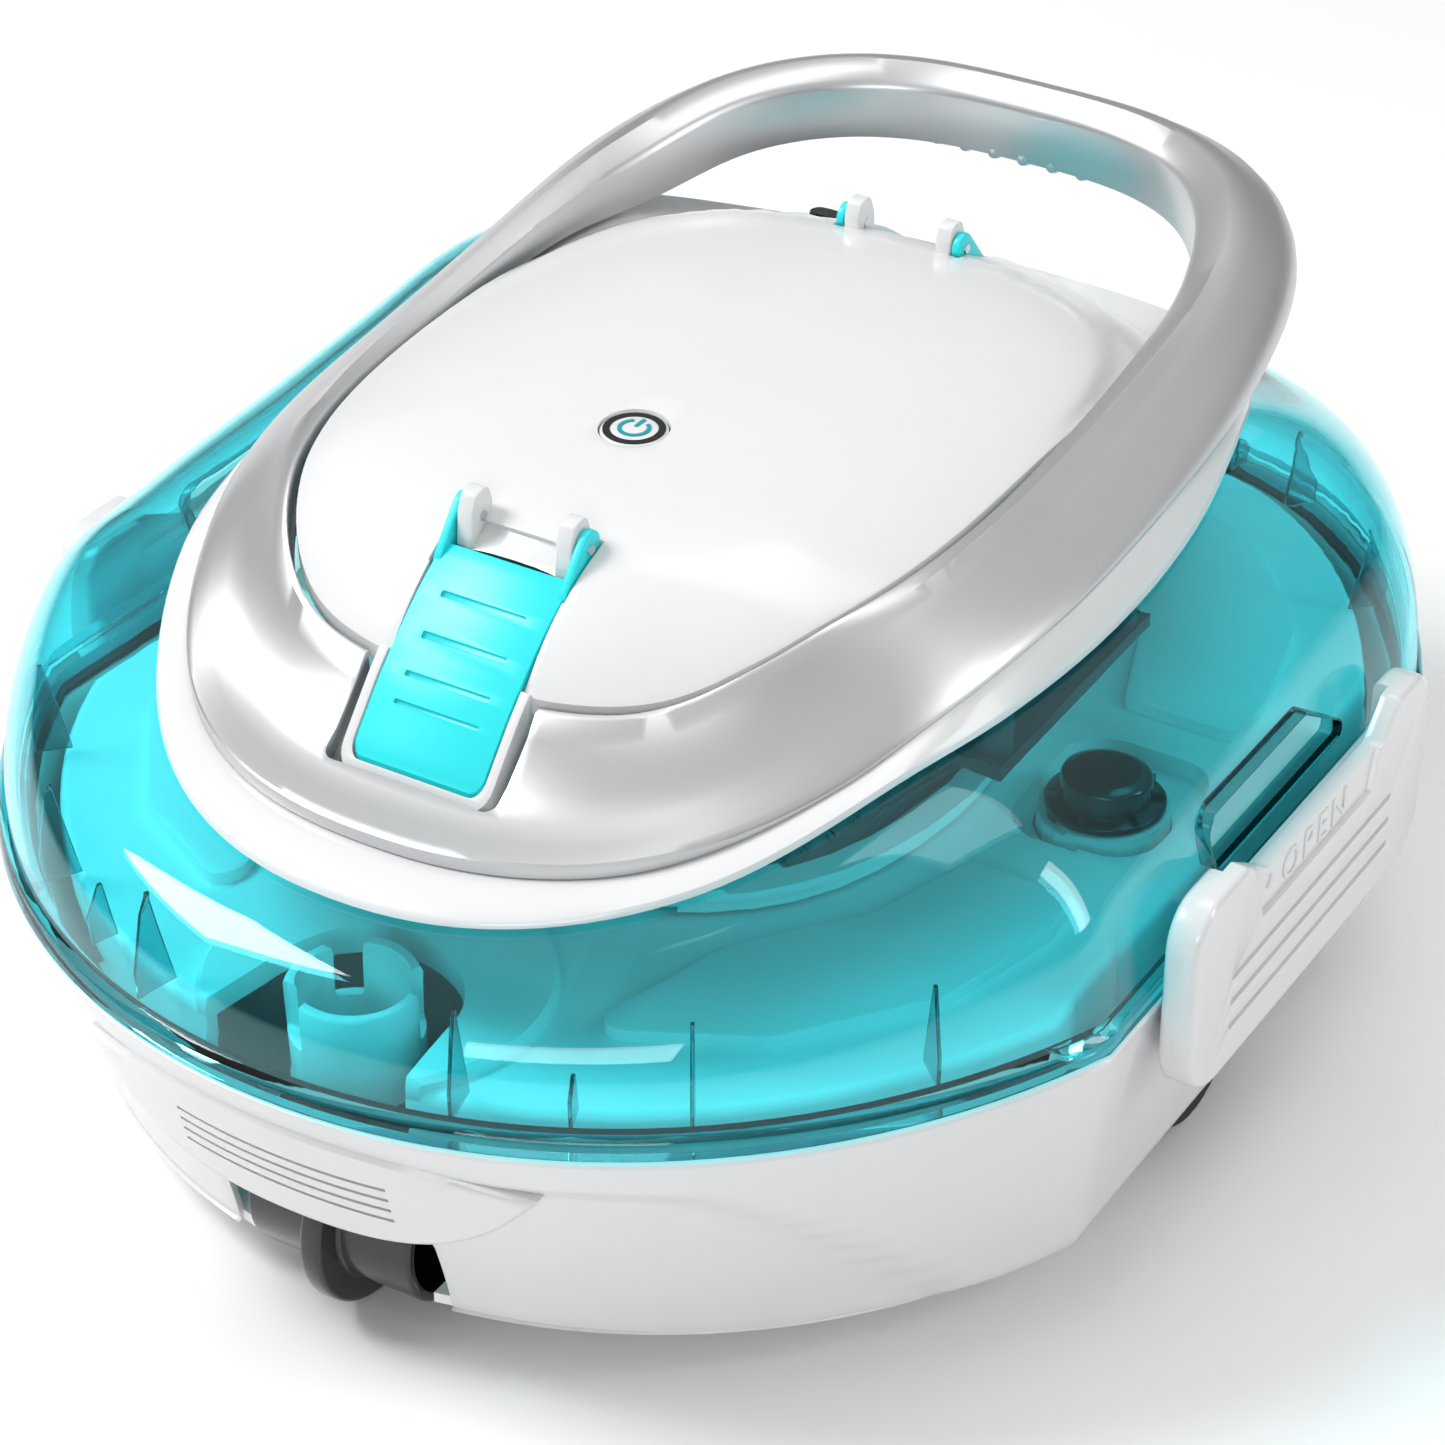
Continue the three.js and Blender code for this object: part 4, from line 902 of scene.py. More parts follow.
def model_valve(side):
    """Model one dark inlet valve: a ribbed disc with a raised cap and hinge bar."""
    name = "left" if side < 0 else "right"
    x, z = side * INLET_X, S.deck_top + 0.4
    profile = [(0, 0), (16, 0), (16, 2), (12, 2.6), (12, 9.4), (9, 10.6), (0, 11)]
    profile = rounded(profile, [0, 0.5, 0.5, 0.4, 1.6, 1.6, 0], 3)
    disc = lathe("disc", profile, (x, 0, z), steps=64, closed=False)
    parts = [disc]
    for i in range(6):
        angle = i * math.pi / 3
        rib = block("rib", (-0.7, 10.5, 1.6), (0.7, 15.4, 4.0), 0.3)
        lay(rib, (x, 0, z), (0, 0, angle))
        parts.append(rib)
    parts.append(rod(1.2, -6, 6, (x, 16, z + 1), "x", 24))
    piece = joined(parts, f"inlet_valve_{name}_body")
    return deliver(piece, f"inlet_valve_{name}", "seal_rubber", FINISH["black"], f"inlet_valve_{name}")


def model_wheel(side):
    """Model one side wheel: a tyre with tread blocks round a dished hub."""
    name = "left" if side < 0 else "right"
    x = side * 144
    profile = rounded([(3.4, -4), (9, -4), (11, -2), (19, -2), (20, -5), (24.2, -5), (25, -4.2),
                           (25, 4.2), (24.2, 5), (20, 5), (19, 2), (11, 2), (9, 4), (3.4, 4)], 0.4, 2)
    piece = lathe(f"side_wheel_{name}_tyre", profile, (x, 0, 25), axis="x", steps=72)
    for i in range(18):
        angle = i * math.tau / 18
        cut = block("tread", (x - 6, -0.8, 23.9), (x + 6, 0.8, 26))
        lay(cut, (0, 0, 25), (angle, 0, 0))
        carve(piece, cut)
    return deliver(piece, f"side_wheel_{name}", "seal_rubber", FINISH["rubber"], f"side_wheel_{name}")


def model_latch(side):
    """Model one latch: a thick plate with two horns, a sunken panel, grooves and hinge knuckles."""
    name = "left" if side < 0 else "right"
    face, half, foot, head = S.latch_face, S.latch_length, S.latch_foot, S.latch_head
    inner, dip = 168.2, head - 9.3
    outline = [(-half, foot), (half, foot), (half, head), (49, head), (39, dip), (-27, dip),
               (-42, head), (-half, head)]
    outline = rounded(outline, [16, 16, 10, 3, 5, 5, 3, 12], 6)
    piece = slab(f"latch_{name}_plate", outline, *across(side, inner, face), axis="x",
                 bevel=2.0, segments=3)
    room = rounded([(-47, dip - 5), (53, dip - 5), (53, head + 5), (-47, head + 5)], [3, 3, 0, 0], 3)
    carve(piece, slab("room", room, *across(side, inner - 3, face - 5.6), axis="x"))
    panel = rounded([(-32, 96), (33.5, 96), (40, dip + 6), (-38, dip + 6)], [1.5, 1.5, 0, 0], 3)
    carve(piece, slab("panel", panel, *across(side, face - 1.6, face + 4), axis="x"))
    for y in (-KNUCKLE_Y, KNUCKLE_Y):
        carve(piece, rod(5.4, y - 6.6, y + 6.6, (side * LATCH_PIN_X, 0, LATCH_PIN_Z), "y", 32))
    for i in range(3):
        z = 71.8 + 7.7 * i
        groove = rounded([(-48.3, z - 1.0), (48.3, z - 1.0), (48.3, z + 1.0), (-48.3, z + 1.0)], 0.9, 3)
        carve(piece, slab("groove", groove, *across(side, face - 2.0, face + 3), axis="x"))
    weld(piece)
    soften(piece, 0.3, 2, 42)
    parts = [piece]
    for y in (-24, 24):
        parts.append(lathe("knuckle", [(1.9, y - 10), (2.9, y - 10), (2.9, y + 10), (1.9, y + 10)],
                           (side * LATCH_PIN_X, 0, LATCH_PIN_Z), axis="y", steps=32))
    parts.append(raised_word("OPEN", side, face - 1.65, (0.8, 97.6), 12.5))
    tip = dip - 0.2
    arrow = [(-26, tip - 2), (-24, tip - 5.5), (-28, tip - 5.5)]
    parts.append(slab("arrow", arrow, *across(side, face - 1.9, face - 0.9), axis="x"))
    piece = joined(parts, f"latch_{name}_plate")
    return deliver(piece, f"latch_{name}", "white_shell", FINISH["white"], f"latch_{name}")


def raised_word(word, side, face, place, size):
    """Raise a plain word on a side face, centred at (y, z)."""
    bpy.ops.object.select_all(action="DESELECT")
    bpy.ops.object.text_add(location=(0, 0, 0))
    text = bpy.context.object
    text.data.body = word
    text.data.size = size * MM
    text.data.space_character = 1.35
    text.data.align_x = "CENTER"
    text.data.extrude = 0.55 * MM
    text.data.resolution_u = 3
    bpy.ops.object.convert(target="MESH")
    text = bpy.context.object
    lay(text, (side * face, *place), (math.pi / 2, 0, side * math.pi / 2))
    weld(text, 0.01)
    return text


# ------------------------------------------------------------------ upper body


def arch_point(station, turn, depth):
    """Return a point of the clear shell's arch; turn goes from 0 at the band to 90 at the trim."""
    foot = rim().grown(-3 - depth).at(station)
    head = trim_edge().grown(-depth).at(station)
    top = trim_level(trim_edge().at(station)[1]) - 0.8
    out = math.cos(turn) ** 0.9 if turn < math.pi / 2 - 1e-6 else 0.0
    up = math.sin(turn) ** 0.9 if turn > 0 else 0.0
    low = S.rim_height + S.band
    return (mix(head[0], foot[0], out), mix(head[1], foot[1], out), mix(low, top - depth * up, up))


def model_clear_shell():
    """Model the clear teal shell with its band, arch, side windows and inner ribs."""
    wall, foot = S.clear_wall, S.rim_height + 0.4
    outer, inner, right_angle = 18, 14, math.pi / 2
    loops = [level_loop(rim().grown(-0.9), foot), level_loop(rim().grown(-0.3), foot + 0.6)]
    loops += [level_loop(rim().grown(-0.9), S.rim_height + S.band - 2.4)]
    loops += [level_loop(rim().grown(-1.6), S.rim_height + S.band - 1.0)]
    loops += [[arch_point(s, right_angle * i / outer, 0) for s in FINE] for i in range(outer + 1)]

    def flange(inset, drop):
        return [(*trim_edge().grown(inset).at(s), trim_level(trim_edge().at(s)[1]) - 0.8 - drop)
                for s in FINE]

    loops += [flange(-8.6, 0), flange(-9, 0.4), flange(-9, wall - 0.4), flange(-8.6, wall)]
    loops += [[arch_point(s, right_angle * (1 - i / inner) * 0.96 + 0.01, wall) for s in FINE]
              for i in range(inner + 1)]
    spigot = rim().grown(-5.4 - wall)
    loops += [level_loop(spigot, S.rim_height + S.band - 3), level_loop(spigot, 85.6)]
    loops += [level_loop(rim().grown(-5.6), 85.2), level_loop(rim().grown(-5.4), foot)]
    piece = sweep("clear_shell_skin", loops)
    window = rounded([(-30, 104), (44, 104), (44, 108), (20, 123), (-38, 123)], [2.5, 2, 2, 4, 5], 4)
    for side in (-1, 1):
        carve(piece, slab("window", window, *across(side, 150, 172), axis="x"))
    weld(piece)
    deliver(piece, "upper_unit", "clear_teal", FINISH["teal"], "clear_shell")
    blades = [fin(place, reach, top) for place, reach, top in FINS]
    blades += [fin((x, -y), reach, top) for (x, y), reach, top in FINS]
    section = ((158, 0), (163.4, 0), (163.4, 0.9), (158, 0.9))
    for side in (-1, 1):
        blades.append(sweep("window_edge", [[(side * x, y, z) for y, z in grown_loop(window, by)]
                                            for x, by in section]))
    # The blades and window rims take the darkened edge finish, which is painted shade for their dark
    # edge-on look.
    return deliver(joined(blades, "clear_shell_fins"), "upper_unit", "clear_teal", FINISH["edge"])


def grown_loop(outline, by):
    """Move the points of an outline away from its middle by a distance."""
    middle = Vector((sum(p[0] for p in outline), sum(p[1] for p in outline))) / len(outline)
    moved = []
    for point in outline:
        arm = Vector(point) - middle
        moved.append(tuple(middle + arm * (1 + by / arm.length)))
    return moved


FINS = [((44, -191), 10, 121), ((-44, -191), 10, 121), ((93, -167), 9, 120), ((-93, -167), 9, 120),
        ((131.5, -123), 9, 118), ((-131.5, -123), 9, 118), ((70, -183), 6, 104), ((-68, -184), 6, 108)]


def fin(place, reach, top):
    """Model one thin upright blade that stands inside the clear shell, in line with the middle."""
    x, y = place
    turn = math.atan2(y, x)
    outline = [(-1.5, 91.2), (reach, 91.2), (reach + 0.6, 99), (reach - 3.4, top), (reach - 4.6, top)]
    piece = slab("fin", outline, -0.5, 0.5, axis="y", bevel=0.2, segments=1)
    lay(piece, (x, y, 0), (0, 0, turn))
    return piece


FLAP_NOTCH_FRONT = -150.6  # front edge of the notch that the front flap lies in


def model_trim():
    """Model the white trim between the clear shell and the handle ring."""
    upper = Oval(S.ring_width + 0.4, S.ring_front + 0.4, 170, 2.3, 2.3)
    inner = lid_edge().grown(1)

    def level_of(y):
        covered = ring_underside(y) - 1.5
        return min(mix(covered, lid_level(y) - 1, ease(y, 40, 90)), ring_underside(y) - 1)

    rows = []
    for s in FINE:
        low = (*trim_edge().at(s), trim_level(trim_edge().at(s)[1]))
        hx, hy = upper.at(s)
        high = (hx, hy, min(ring_level(hy) - ring_lip(hy) - 0.4, trim_level(hy) + 12))
        ix, iy = inner.at(s)
        rest = (ix, iy, level_of(iy))
        dip = -8.5 * hollow(iy)
        back = (*trim_edge().grown(-3).at(s), low[2])

        def along(a, b, t, lift=0.0):
            return tuple(mix(p, q, t) + (lift if k == 2 else 0) for k, (p, q) in enumerate(zip(a, b)))

        rows.append([
            along(low, back, 0.25), along(low, back, 0.04, 0.35), along(low, high, 0.03, 1.1),
            along(low, high, 0.10, 1.7), along(low, high, 0.35, 1.5), along(low, high, 0.7, 0.9), high,
            along(high, rest, 0.5, dip), rest, along(rest, rest, 0, -3),
            along(high, rest, 0.5, dip - 3), along(back, high, 0.6, -1.6), along(back, high, 0.02),
            along(low, back, 0.9)])
    piece = sweep("trim_ring_skin", [list(loop) for loop in zip(*rows)])
    carve(piece, block("notch", (-24.8, FLAP_NOTCH_FRONT, 125), (24.8, -108, 200)))
    return deliver(piece, "upper_unit", "white_shell", FINISH["white"], "trim_ring")


def model_handle():
    """Model the grey handle ring: a sloping skirt at the front that becomes the grip at the rear."""
    rows = []
    for s in FINE:
        ix, iy = crest().at(s)
        inner = Vector((ix, iy, crest_level(iy)))
        ox, oy = ring_edge().at(s)
        outer = Vector((ox, oy, ring_level(oy)))
        under = Vector((ix, iy, ring_underside(iy)))
        grip = ease(iy, -40, 130)
        crown = mix(-2.5, 6, ease(iy, -110, 140))
        dip = hollow(iy)
        up = Vector((0, 0, 1))
        foot = outer - up * ring_lip(oy)
        points = [
            under, inner - up * 1.8,
            inner.lerp(outer, 0.012) - up * 0.5,
            inner.lerp(outer, 0.06) + up * mix(0.2, 1.6, grip) - up * 0.4 * dip,
            inner.lerp(outer, mix(0.16, 0.3, grip)) + up * (crown + mix(3.4, 1.6, grip) - 4.0 * dip),
            inner.lerp(outer, mix(0.28, 0.38, grip)) + up * (mix(1.6, 8.3, grip) - 6.6 * dip),
            inner.lerp(outer, mix(0.4, 0.46, grip)) + up * (mix(1.6, 8.6, grip) - 8.1 * dip),
            inner.lerp(outer, mix(0.52, 0.54, grip)) + up * (mix(1.6, 8.6, grip) - 8.3 * dip),
            inner.lerp(outer, 0.62) + up * (mix(1.5, 8, grip) - 7.6 * dip),
            inner.lerp(outer, 0.8) + up * (mix(1.2, 7.2, grip) - 4.6 * dip),
            inner.lerp(outer, 0.93) + up * (mix(0.7, 4.6, grip) - 1.8 * dip),
            inner.lerp(outer, 0.985) + up * (mix(0.2, 1.6, grip) - 0.5 * dip),
            outer - up * mix(0.5, 1.0, grip),
            foot,
            foot.lerp(under, 0.06) - up * 2.2 * grip,
            foot.lerp(under, 0.45) + up * (mix(0.2, -4, ease(iy, 60, 130)) - 7 * dip),
            foot.lerp(under, 0.9) + up * (mix(0.2, -1.4, ease(iy, 60, 130)) - 1.5 * dip)]
        rows.append([tuple(p) for p in points])
    loops = [list(loop) for loop in zip(*rows)]
    piece = sweep("handle_ring_skin", loops)
    half, back = 25.4, -100
    outline = [(half, back), (half, FLAP_NOTCH_FRONT), (-half, FLAP_NOTCH_FRONT), (-half, back)]
    carve(piece, slab("notch", rounded(outline, [0, 3.5, 3.5, 0], 5), 130, 205))
    weld(piece)
    soften(piece, 0.8, 2, 50)
    ridges = []
    for i in range(-3, 4):
        ridge = lathe("ridge", [(0, -6), (1.8, -5.4), (2.4, -4), (2.4, 4), (1.8, 5.4), (0, 6)],
                      (i * 9.6, 171.5, 180.6), axis="y", steps=20, closed=False)
        ridges.append(ridge)
    piece = joined([piece, *ridges], "handle_ring_skin")
    return deliver(piece, "upper_unit", "silver_ring", FINISH["silver"], "handle_ring")


SLOPE = [(-99, 184), (-115, 173.8), (-130.5, 160.4), (-139.5, 150.6), (-147.5, 141.3)]


def slope_point(t):
    """Return a point and its outward normal on the flap's line, drawn for the front."""
    ends = [tuple(2 * a - b for a, b in zip(SLOPE[0], SLOPE[1])), *SLOPE,
            tuple(2 * a - b for a, b in zip(SLOPE[-1], SLOPE[-2]))]
    spot = t * (len(SLOPE) - 1)
    i = min(max(int(math.floor(spot)), 0), len(SLOPE) - 2)
    u = spot - i
    if t < 0 or t > 1:
        u = 0.0 if t < 0 else 1.0
    p = [Vector(q) for q in ends[i:i + 4]]
    place = 0.5 * (2 * p[1] + (p[2] - p[0]) * u + (2 * p[0] - 5 * p[1] + 4 * p[2] - p[3]) * u**2
                   + (3 * p[1] - p[0] - 3 * p[2] + p[3]) * u**3)
    way = 0.5 * ((p[2] - p[0]) + 2 * (2 * p[0] - 5 * p[1] + 4 * p[2] - p[3]) * u
                 + 3 * (3 * p[1] - p[0] - 3 * p[2] + p[3]) * u**2)
    way.normalize()
    place = place + way * ((t - min(max(t, 0), 1)) * 65)
    return place, Vector((way.y, -way.x))


def slope_band(start, stop, above, below, steps=18):
    """Return a closed outline in (y, z) that follows the flap's line between two heights."""
    outer, inner = [], []
    for i in range(steps + 1):
        place, out = slope_point(mix(start, stop, i / steps))
        outer.append(tuple(place + out * above))
        inner.append(tuple(place + out * below))
    return outer + inner[::-1]


def facing(outline, end):
    """Turn an outline drawn for the front to the given end."""
    return [(-end * y, z) for y, z in outline]


DUCT_SLOPE, PORT_SLOPE = 0.64, 0.9  # radians above level
BUTTON_Y = -45


def lid_height(x, y, r, edge):
    """Return the lid's level, with the soft step round its top panel towards the rear."""
    fullness = 3.5 + 1.9 * ease(-y, 40, 100) + 0.9 * ease(y, 40, 100)
    level = mix(S.lid_top, edge, r**fullness)
    panel = (abs(x) / 86) ** 3.4 + (abs(y) / 101) ** 3.4
    return level - 1.8 * ease(panel, 0.93, 1.03) * ease(y, 15, 60)


def model_lid():
    """Model the white top lid: a domed cover with flap seats, hinge posts and a button hole."""
    radii = [0.08, 0.2, 0.32, 0.44, 0.54, 0.62, 0.68, 0.73, 0.77, 0.8, 0.83, 0.86, 0.885, 0.91, 0.93,
             0.95, 0.965, 0.98, 0.992, 1.0]

    def loop(r, drop):
        result = []
        for s in FINE:
            x, y = lid_edge().at(s)
            result.append((x * r, y * r, lid_height(x * r, y * r, r, lid_level(y)) - drop))
        return result

    count = len(FINE)
    loops = [[(0, 0, S.lid_top)] * count] + [loop(r, 0) for r in radii]
    loops += [loop(1.0, 4.5), loop(0.975, 4.5)]
    loops += [loop(r, 2.6) for r in (0.95, 0.85, 0.7, 0.5, 0.25)] + [[(0, 0, S.lid_top - 2.6)] * count]
    piece = sweep("top_lid_skin", loops, False)
    for end in (-1, 1):
        seat = slab("seat", facing(slope_band(0.45, 1.03, 0.0, -7), end), -22.2, 22.2, axis="x")
        plan = rounded([(22.2, 110), (22.2, 149.2), (-22.2, 149.2), (-22.2, 110)], [0, 4.5, 4.5, 0], 6)
        carve(seat, slab("plan", [(x, end * y) for x, y in plan], 120, 190), "INTERSECT")
        carve(piece, seat, "UNION")
    for end in (-1, 1):
        recess = slab("recess", facing(slope_band(-0.06, 1.0, 9, -2.6), end), -19.7, 19.7, axis="x")
        plan = rounded([(19.7, 85), (19.7, 147.2), (-19.7, 147.2), (-19.7, 85)], [0, 3.4, 3.4, 0], 6)
        carve(recess, slab("plan", [(x, end * y) for x, y in plan], 120, 210), "INTERSECT")
        carve(piece, recess)
        outlet = rod(13.5, -40, 14)
        lay(outlet, (0, end * 116, 158), (-end * (math.pi / 2 - DUCT_SLOPE), 0, 0))
        carve(piece, outlet)
        pocket = facing([(-109, 173), (-109, 192), (-90.4, 192), (-90.4, 181.6), (-99.6, 173)], end)
        for x in (-18.5, 18.5):
            carve(piece, slab("pocket", pocket, x - 1.7, x + 1.7, axis="x"))
    carve(piece, rod(9.4, 170, 200, (0, BUTTON_Y, 0), steps=64))
    port = rod(8.4, -20, 20)
    lay(port, (-45, 137, 158.9), (-(math.pi / 2 - PORT_SLOPE), 0, 0))
    carve(piece, port)
    weld(piece)
    soften(piece, 0.5, 2, 48)
    posts = []
    outline = [(-101.5, 177), (-100.5, 189), (-98.4, 194), (-93, 194.2), (-91.4, 190), (-91.2, 179)]
    outline = rounded(outline, [0, 3, 2.4, 2.4, 2, 0], 4)
    for end in (-1, 1):
        for x in (-14.6, 14.6):
            posts.append(slab("post", facing(outline, end), x - 2.4, x + 2.4, axis="x", bevel=0.6))
    piece = joined([piece, *posts], "top_lid_skin")
    return deliver(piece, "upper_unit", "white_shell", FINISH["white"], "top_lid", angle=28)


def model_flap(end):
    """Model one cyan outlet flap with four grooves and two hinge ears."""
    name = "front" if end < 0 else "rear"
    wide = S.flap_width
    band = facing(slope_band(0.07, 0.99, 0, -2.2), end)
    piece = slab(f"{name}_flap_plate", band, -wide, wide, axis="x")
    plan = rounded([(wide, 90), (wide, 146.5), (-wide, 146.5), (-wide, 90)], [0, 3, 3, 0], 6)
    carve(piece, slab("plan", [(x, end * y) for x, y in plan], 120, 210), "INTERSECT")
    weld(piece)
    soften(piece, 0.4, 2, 50)
    for i in range(4):
        t = 0.245 + 0.135 * i
        groove = slab("groove", facing(slope_band(t - 0.012, t + 0.012, 3, -0.9, 4), end), -12.5, 12.5,
                      axis="x", bevel=0.6, segments=2, angle=60)
        carve(piece, groove)
    ears, outline, steps = [], [], 10
    for y, z, radius, start in ((-95.4, 187.6, 4.1, -0.78), (-104.6, 177.4, 3.5, math.pi - 0.78)):
        turns = [start + k * math.pi / steps for k in range(steps + 1)]
        outline += [(y + radius * math.cos(a), z + radius * math.sin(a)) for a in turns]
    for x in (-18.5, 18.5):
        ears.append(slab("ear", facing(outline, end), x - 1.1, x + 1.1, axis="x",
                         bevel=0.4, segments=2, angle=50))
    piece = joined([piece, *ears], f"{name}_flap_plate")
    return deliver(piece, f"{name}_flap", "cyan_flap", FINISH["cyan"], f"{name}_flap")


def model_button():
    """Model the power button, with a printed ring and a power sign on it."""
    z, centre = 190.4, (0, BUTTON_Y, 0)
    profile = [(0, 184.4), (6, 184.4), (6, 188), (9, 188), (9, z + 0.5), (0, z + 0.9)]
    profile = rounded(profile, [0, 0.4, 0, 0.3, 0.8, 0], 3)
    cap = lathe("power_button_cap", profile, centre, steps=64, closed=False)
    deliver(cap, "power_button", "white_shell", FINISH["white"], "power_button")
    section = [(6.3, z + 0.55), (8.2, z + 0.5), (8.2, z + 0.75), (6.3, z + 0.8)]
    band = lathe("power_button_ring", section, centre, steps=64)
    deliver(band, "power_button", "dark_plastic", FINISH["black_print"])
    gap_half, outer, inner, steps = math.radians(32), 4.4, 3.3, 28
    turns = [mix(gap_half, math.tau - gap_half, i / steps) + math.pi / 2 for i in range(steps + 1)]
    outline = [(outer * math.cos(a), BUTTON_Y + outer * math.sin(a)) for a in turns]
    outline += [(inner * math.cos(a), BUTTON_Y + inner * math.sin(a)) for a in reversed(turns)]
    half, low, high = 0.55, BUTTON_Y + 0.6, BUTTON_Y + 5
    stroke = [(-half, low), (half, low), (half, high), (-half, high)]
    marks = [slab("sign", shape, z + 0.75, z + 1) for shape in (outline, stroke)]
    deliver(joined(marks, "power_button_sign"), "power_button", "cyan_flap", FINISH["teal_print"])


# ------------------------------------------------------------------ carried-over nodes


SLOT_FINISH = {
    "white_shell": "white", "clear_teal": "teal", "silver_ring": "silver", "cyan_flap": "cyan",
    "black_roller": "black", "seal_rubber": "rubber", "steel": "steel", "dark_plastic": "grey",
    "filter_net": "net", "board": "board", "cell_wrap": "cells"}


def finish_frame():
    """Give every carried-over frame node the finish of its slot, except the base floor and filter frame,
    which take the white inner finish.
    """
    slots = {row["node"]: row["material_slot"] for row in frame["record"]["subparts"]}
    for node, thing in frame["nodes"].items():
        material = FINISH[SLOT_FINISH[slots[node]]]
        if node in ("base_floor", "filter_frame"):
            material = FINISH["deck"]
        thing.data.materials.clear()
        thing.data.materials.append(material)


# ------------------------------------------------------------------ stage


def make_floor():
    """Lay the pale floor."""
    bpy.ops.object.select_all(action="DESELECT")
    bpy.ops.mesh.primitive_plane_add(size=12)
    floor = bpy.context.object
    floor.name = "studio_floor"
    material = bpy.data.materials.new("Studio floor")
    material.use_nodes = True
    shader = material.node_tree.nodes["Principled BSDF"]
    shader.inputs["Base Color"].default_value = (*bpy.context.scene.cleaner_colours.floor, 1)
    shader.inputs["Roughness"].default_value = 0.9
    floor.data.materials.append(material)


def make_world():
    """Make a pale surround that is brighter overhead than at the horizon."""
    world = bpy.data.worlds.new("Studio")
    world.use_nodes = True
    tree = world.node_tree
    place = tree.nodes.new("ShaderNodeTexCoord")
    split = tree.nodes.new("ShaderNodeSeparateXYZ")
    ramp = tree.nodes.new("ShaderNodeValToRGB")
    background = tree.nodes["Background"]
    tree.links.new(place.outputs["Generated"], split.inputs[0])
    tree.links.new(split.outputs["Z"], ramp.inputs["Fac"])
    tree.links.new(ramp.outputs["Color"], background.inputs["Color"])
    ramp.color_ramp.elements[0].color = (0.30, 0.30, 0.31, 1)
    ramp.color_ramp.elements[1].position = 0.75
    low = ramp.color_ramp.elements.new(0.28)
    low.color = (0.42, 0.42, 0.43, 1)
    background.inputs["Strength"].default_value = 0.56
    bpy.context.scene.world = world


# Name, place, width, height and power of each soft lamp, all turned to the middle of the cleaner.
LAMPS = [("key", (-1.25, -0.6, 1.6), 0.8, 0.8, 33), ("top", (0.1, 0.6, 1.9), 1.2, 0.8, 6),
         ("side", (1.5, 0.55, 0.75), 0.3, 1.1, 7), ("front", (0.7, -1.9, 0.9), 1.2, 0.5, 10)]
LAMP_TARGET = Vector((0, 0, 0.1))


def make_stage():
    """Build the pale floor, the soft lights and the camera."""
    make_floor()
    make_world()
    for name, place, wide, tall, power in LAMPS:
        bpy.ops.object.light_add(type="AREA", location=place)
        lamp = bpy.context.object
        lamp.name = f"{name}_light"
        lamp.data.shape = "RECTANGLE"
        lamp.data.size = wide
        lamp.data.size_y = tall
        lamp.data.energy = power
        lamp.rotation_euler = (LAMP_TARGET - Vector(place)).to_track_quat("-Z", "Y").to_euler()
    bpy.ops.object.camera_add(location=(0.51735, -0.84806, 0.7210))
    camera = bpy.context.object
    camera.name = "studio_camera"
    turn, lift = math.radians(31.437), math.radians(32.973)
    camera.rotation_euler = (math.pi / 2 - lift, 0, turn)
    camera.data.lens = 106.2
    camera.data.sensor_width = 36
    scene = bpy.context.scene
    scene.camera = camera
    scene.view_settings.view_transform = "Standard"


# ------------------------------------------------------------------ operators and panel


UNDOABLE = {"REGISTER", "UNDO"}


class CLEANER_OT_finishes(bpy.types.Operator):
    """Build the finishes and give them to the carried-over nodes."""

    bl_idname = "cleaner.finishes"
    bl_label = "Finishes"
    bl_options = UNDOABLE

    def execute(self, context):
        FINISH.update(make_finishes())
        finish_frame()
        return {"FINISHED"}


class CLEANER_OT_base_shell(bpy.types.Operator):
    """Model the white skirt with its rim and roller notches."""

    bl_idname = "cleaner.base_shell"
    bl_label = "Base Shell"
    bl_options = UNDOABLE

    def execute(self, context):
        model_base_shell()
        return {"FINISHED"}


class CLEANER_OT_bumpers(bpy.types.Operator):
    """Model the front and rear bumper plates."""

    bl_idname = "cleaner.bumpers"
    bl_label = "Bumpers"
    bl_options = UNDOABLE

    def execute(self, context):
        for way in (-1, 1):
            model_bumper(way)
        return {"FINISHED"}


class CLEANER_OT_deck(bpy.types.Operator):
    """Model the floor under the clear shell."""

    bl_idname = "cleaner.deck"
    bl_label = "Inner Deck"
    bl_options = UNDOABLE

    def execute(self, context):
        model_deck()
        return {"FINISHED"}


class CLEANER_OT_rollers(bpy.types.Operator):
    """Model the front and rear rollers."""

    bl_idname = "cleaner.rollers"
    bl_label = "Rollers"
    bl_options = UNDOABLE

    def execute(self, context):
        for way in (-1, 1):
            model_roller(way)
        return {"FINISHED"}


class CLEANER_OT_wheels(bpy.types.Operator):
    """Model the two side wheels."""

    bl_idname = "cleaner.wheels"
    bl_label = "Side Wheels"
    bl_options = UNDOABLE

    def execute(self, context):
        for way in (-1, 1):
            model_wheel(way)
        return {"FINISHED"}


class CLEANER_OT_valves(bpy.types.Operator):
    """Model the two inlet valves."""

    bl_idname = "cleaner.valves"
    bl_label = "Inlet Valves"
    bl_options = UNDOABLE

    def execute(self, context):
        for way in (-1, 1):
            model_valve(way)
        return {"FINISHED"}


class CLEANER_OT_latches(bpy.types.Operator):
    """Model the two latches."""

    bl_idname = "cleaner.latches"
    bl_label = "Latches"
    bl_options = UNDOABLE

    def execute(self, context):
        for way in (-1, 1):
            model_latch(way)
        return {"FINISHED"}


class CLEANER_OT_clear_shell(bpy.types.Operator):
    """Model the clear teal shell and its inner blades."""

    bl_idname = "cleaner.clear_shell"
    bl_label = "Clear Shell"
    bl_options = UNDOABLE

    def execute(self, context):
        model_clear_shell()
        return {"FINISHED"}


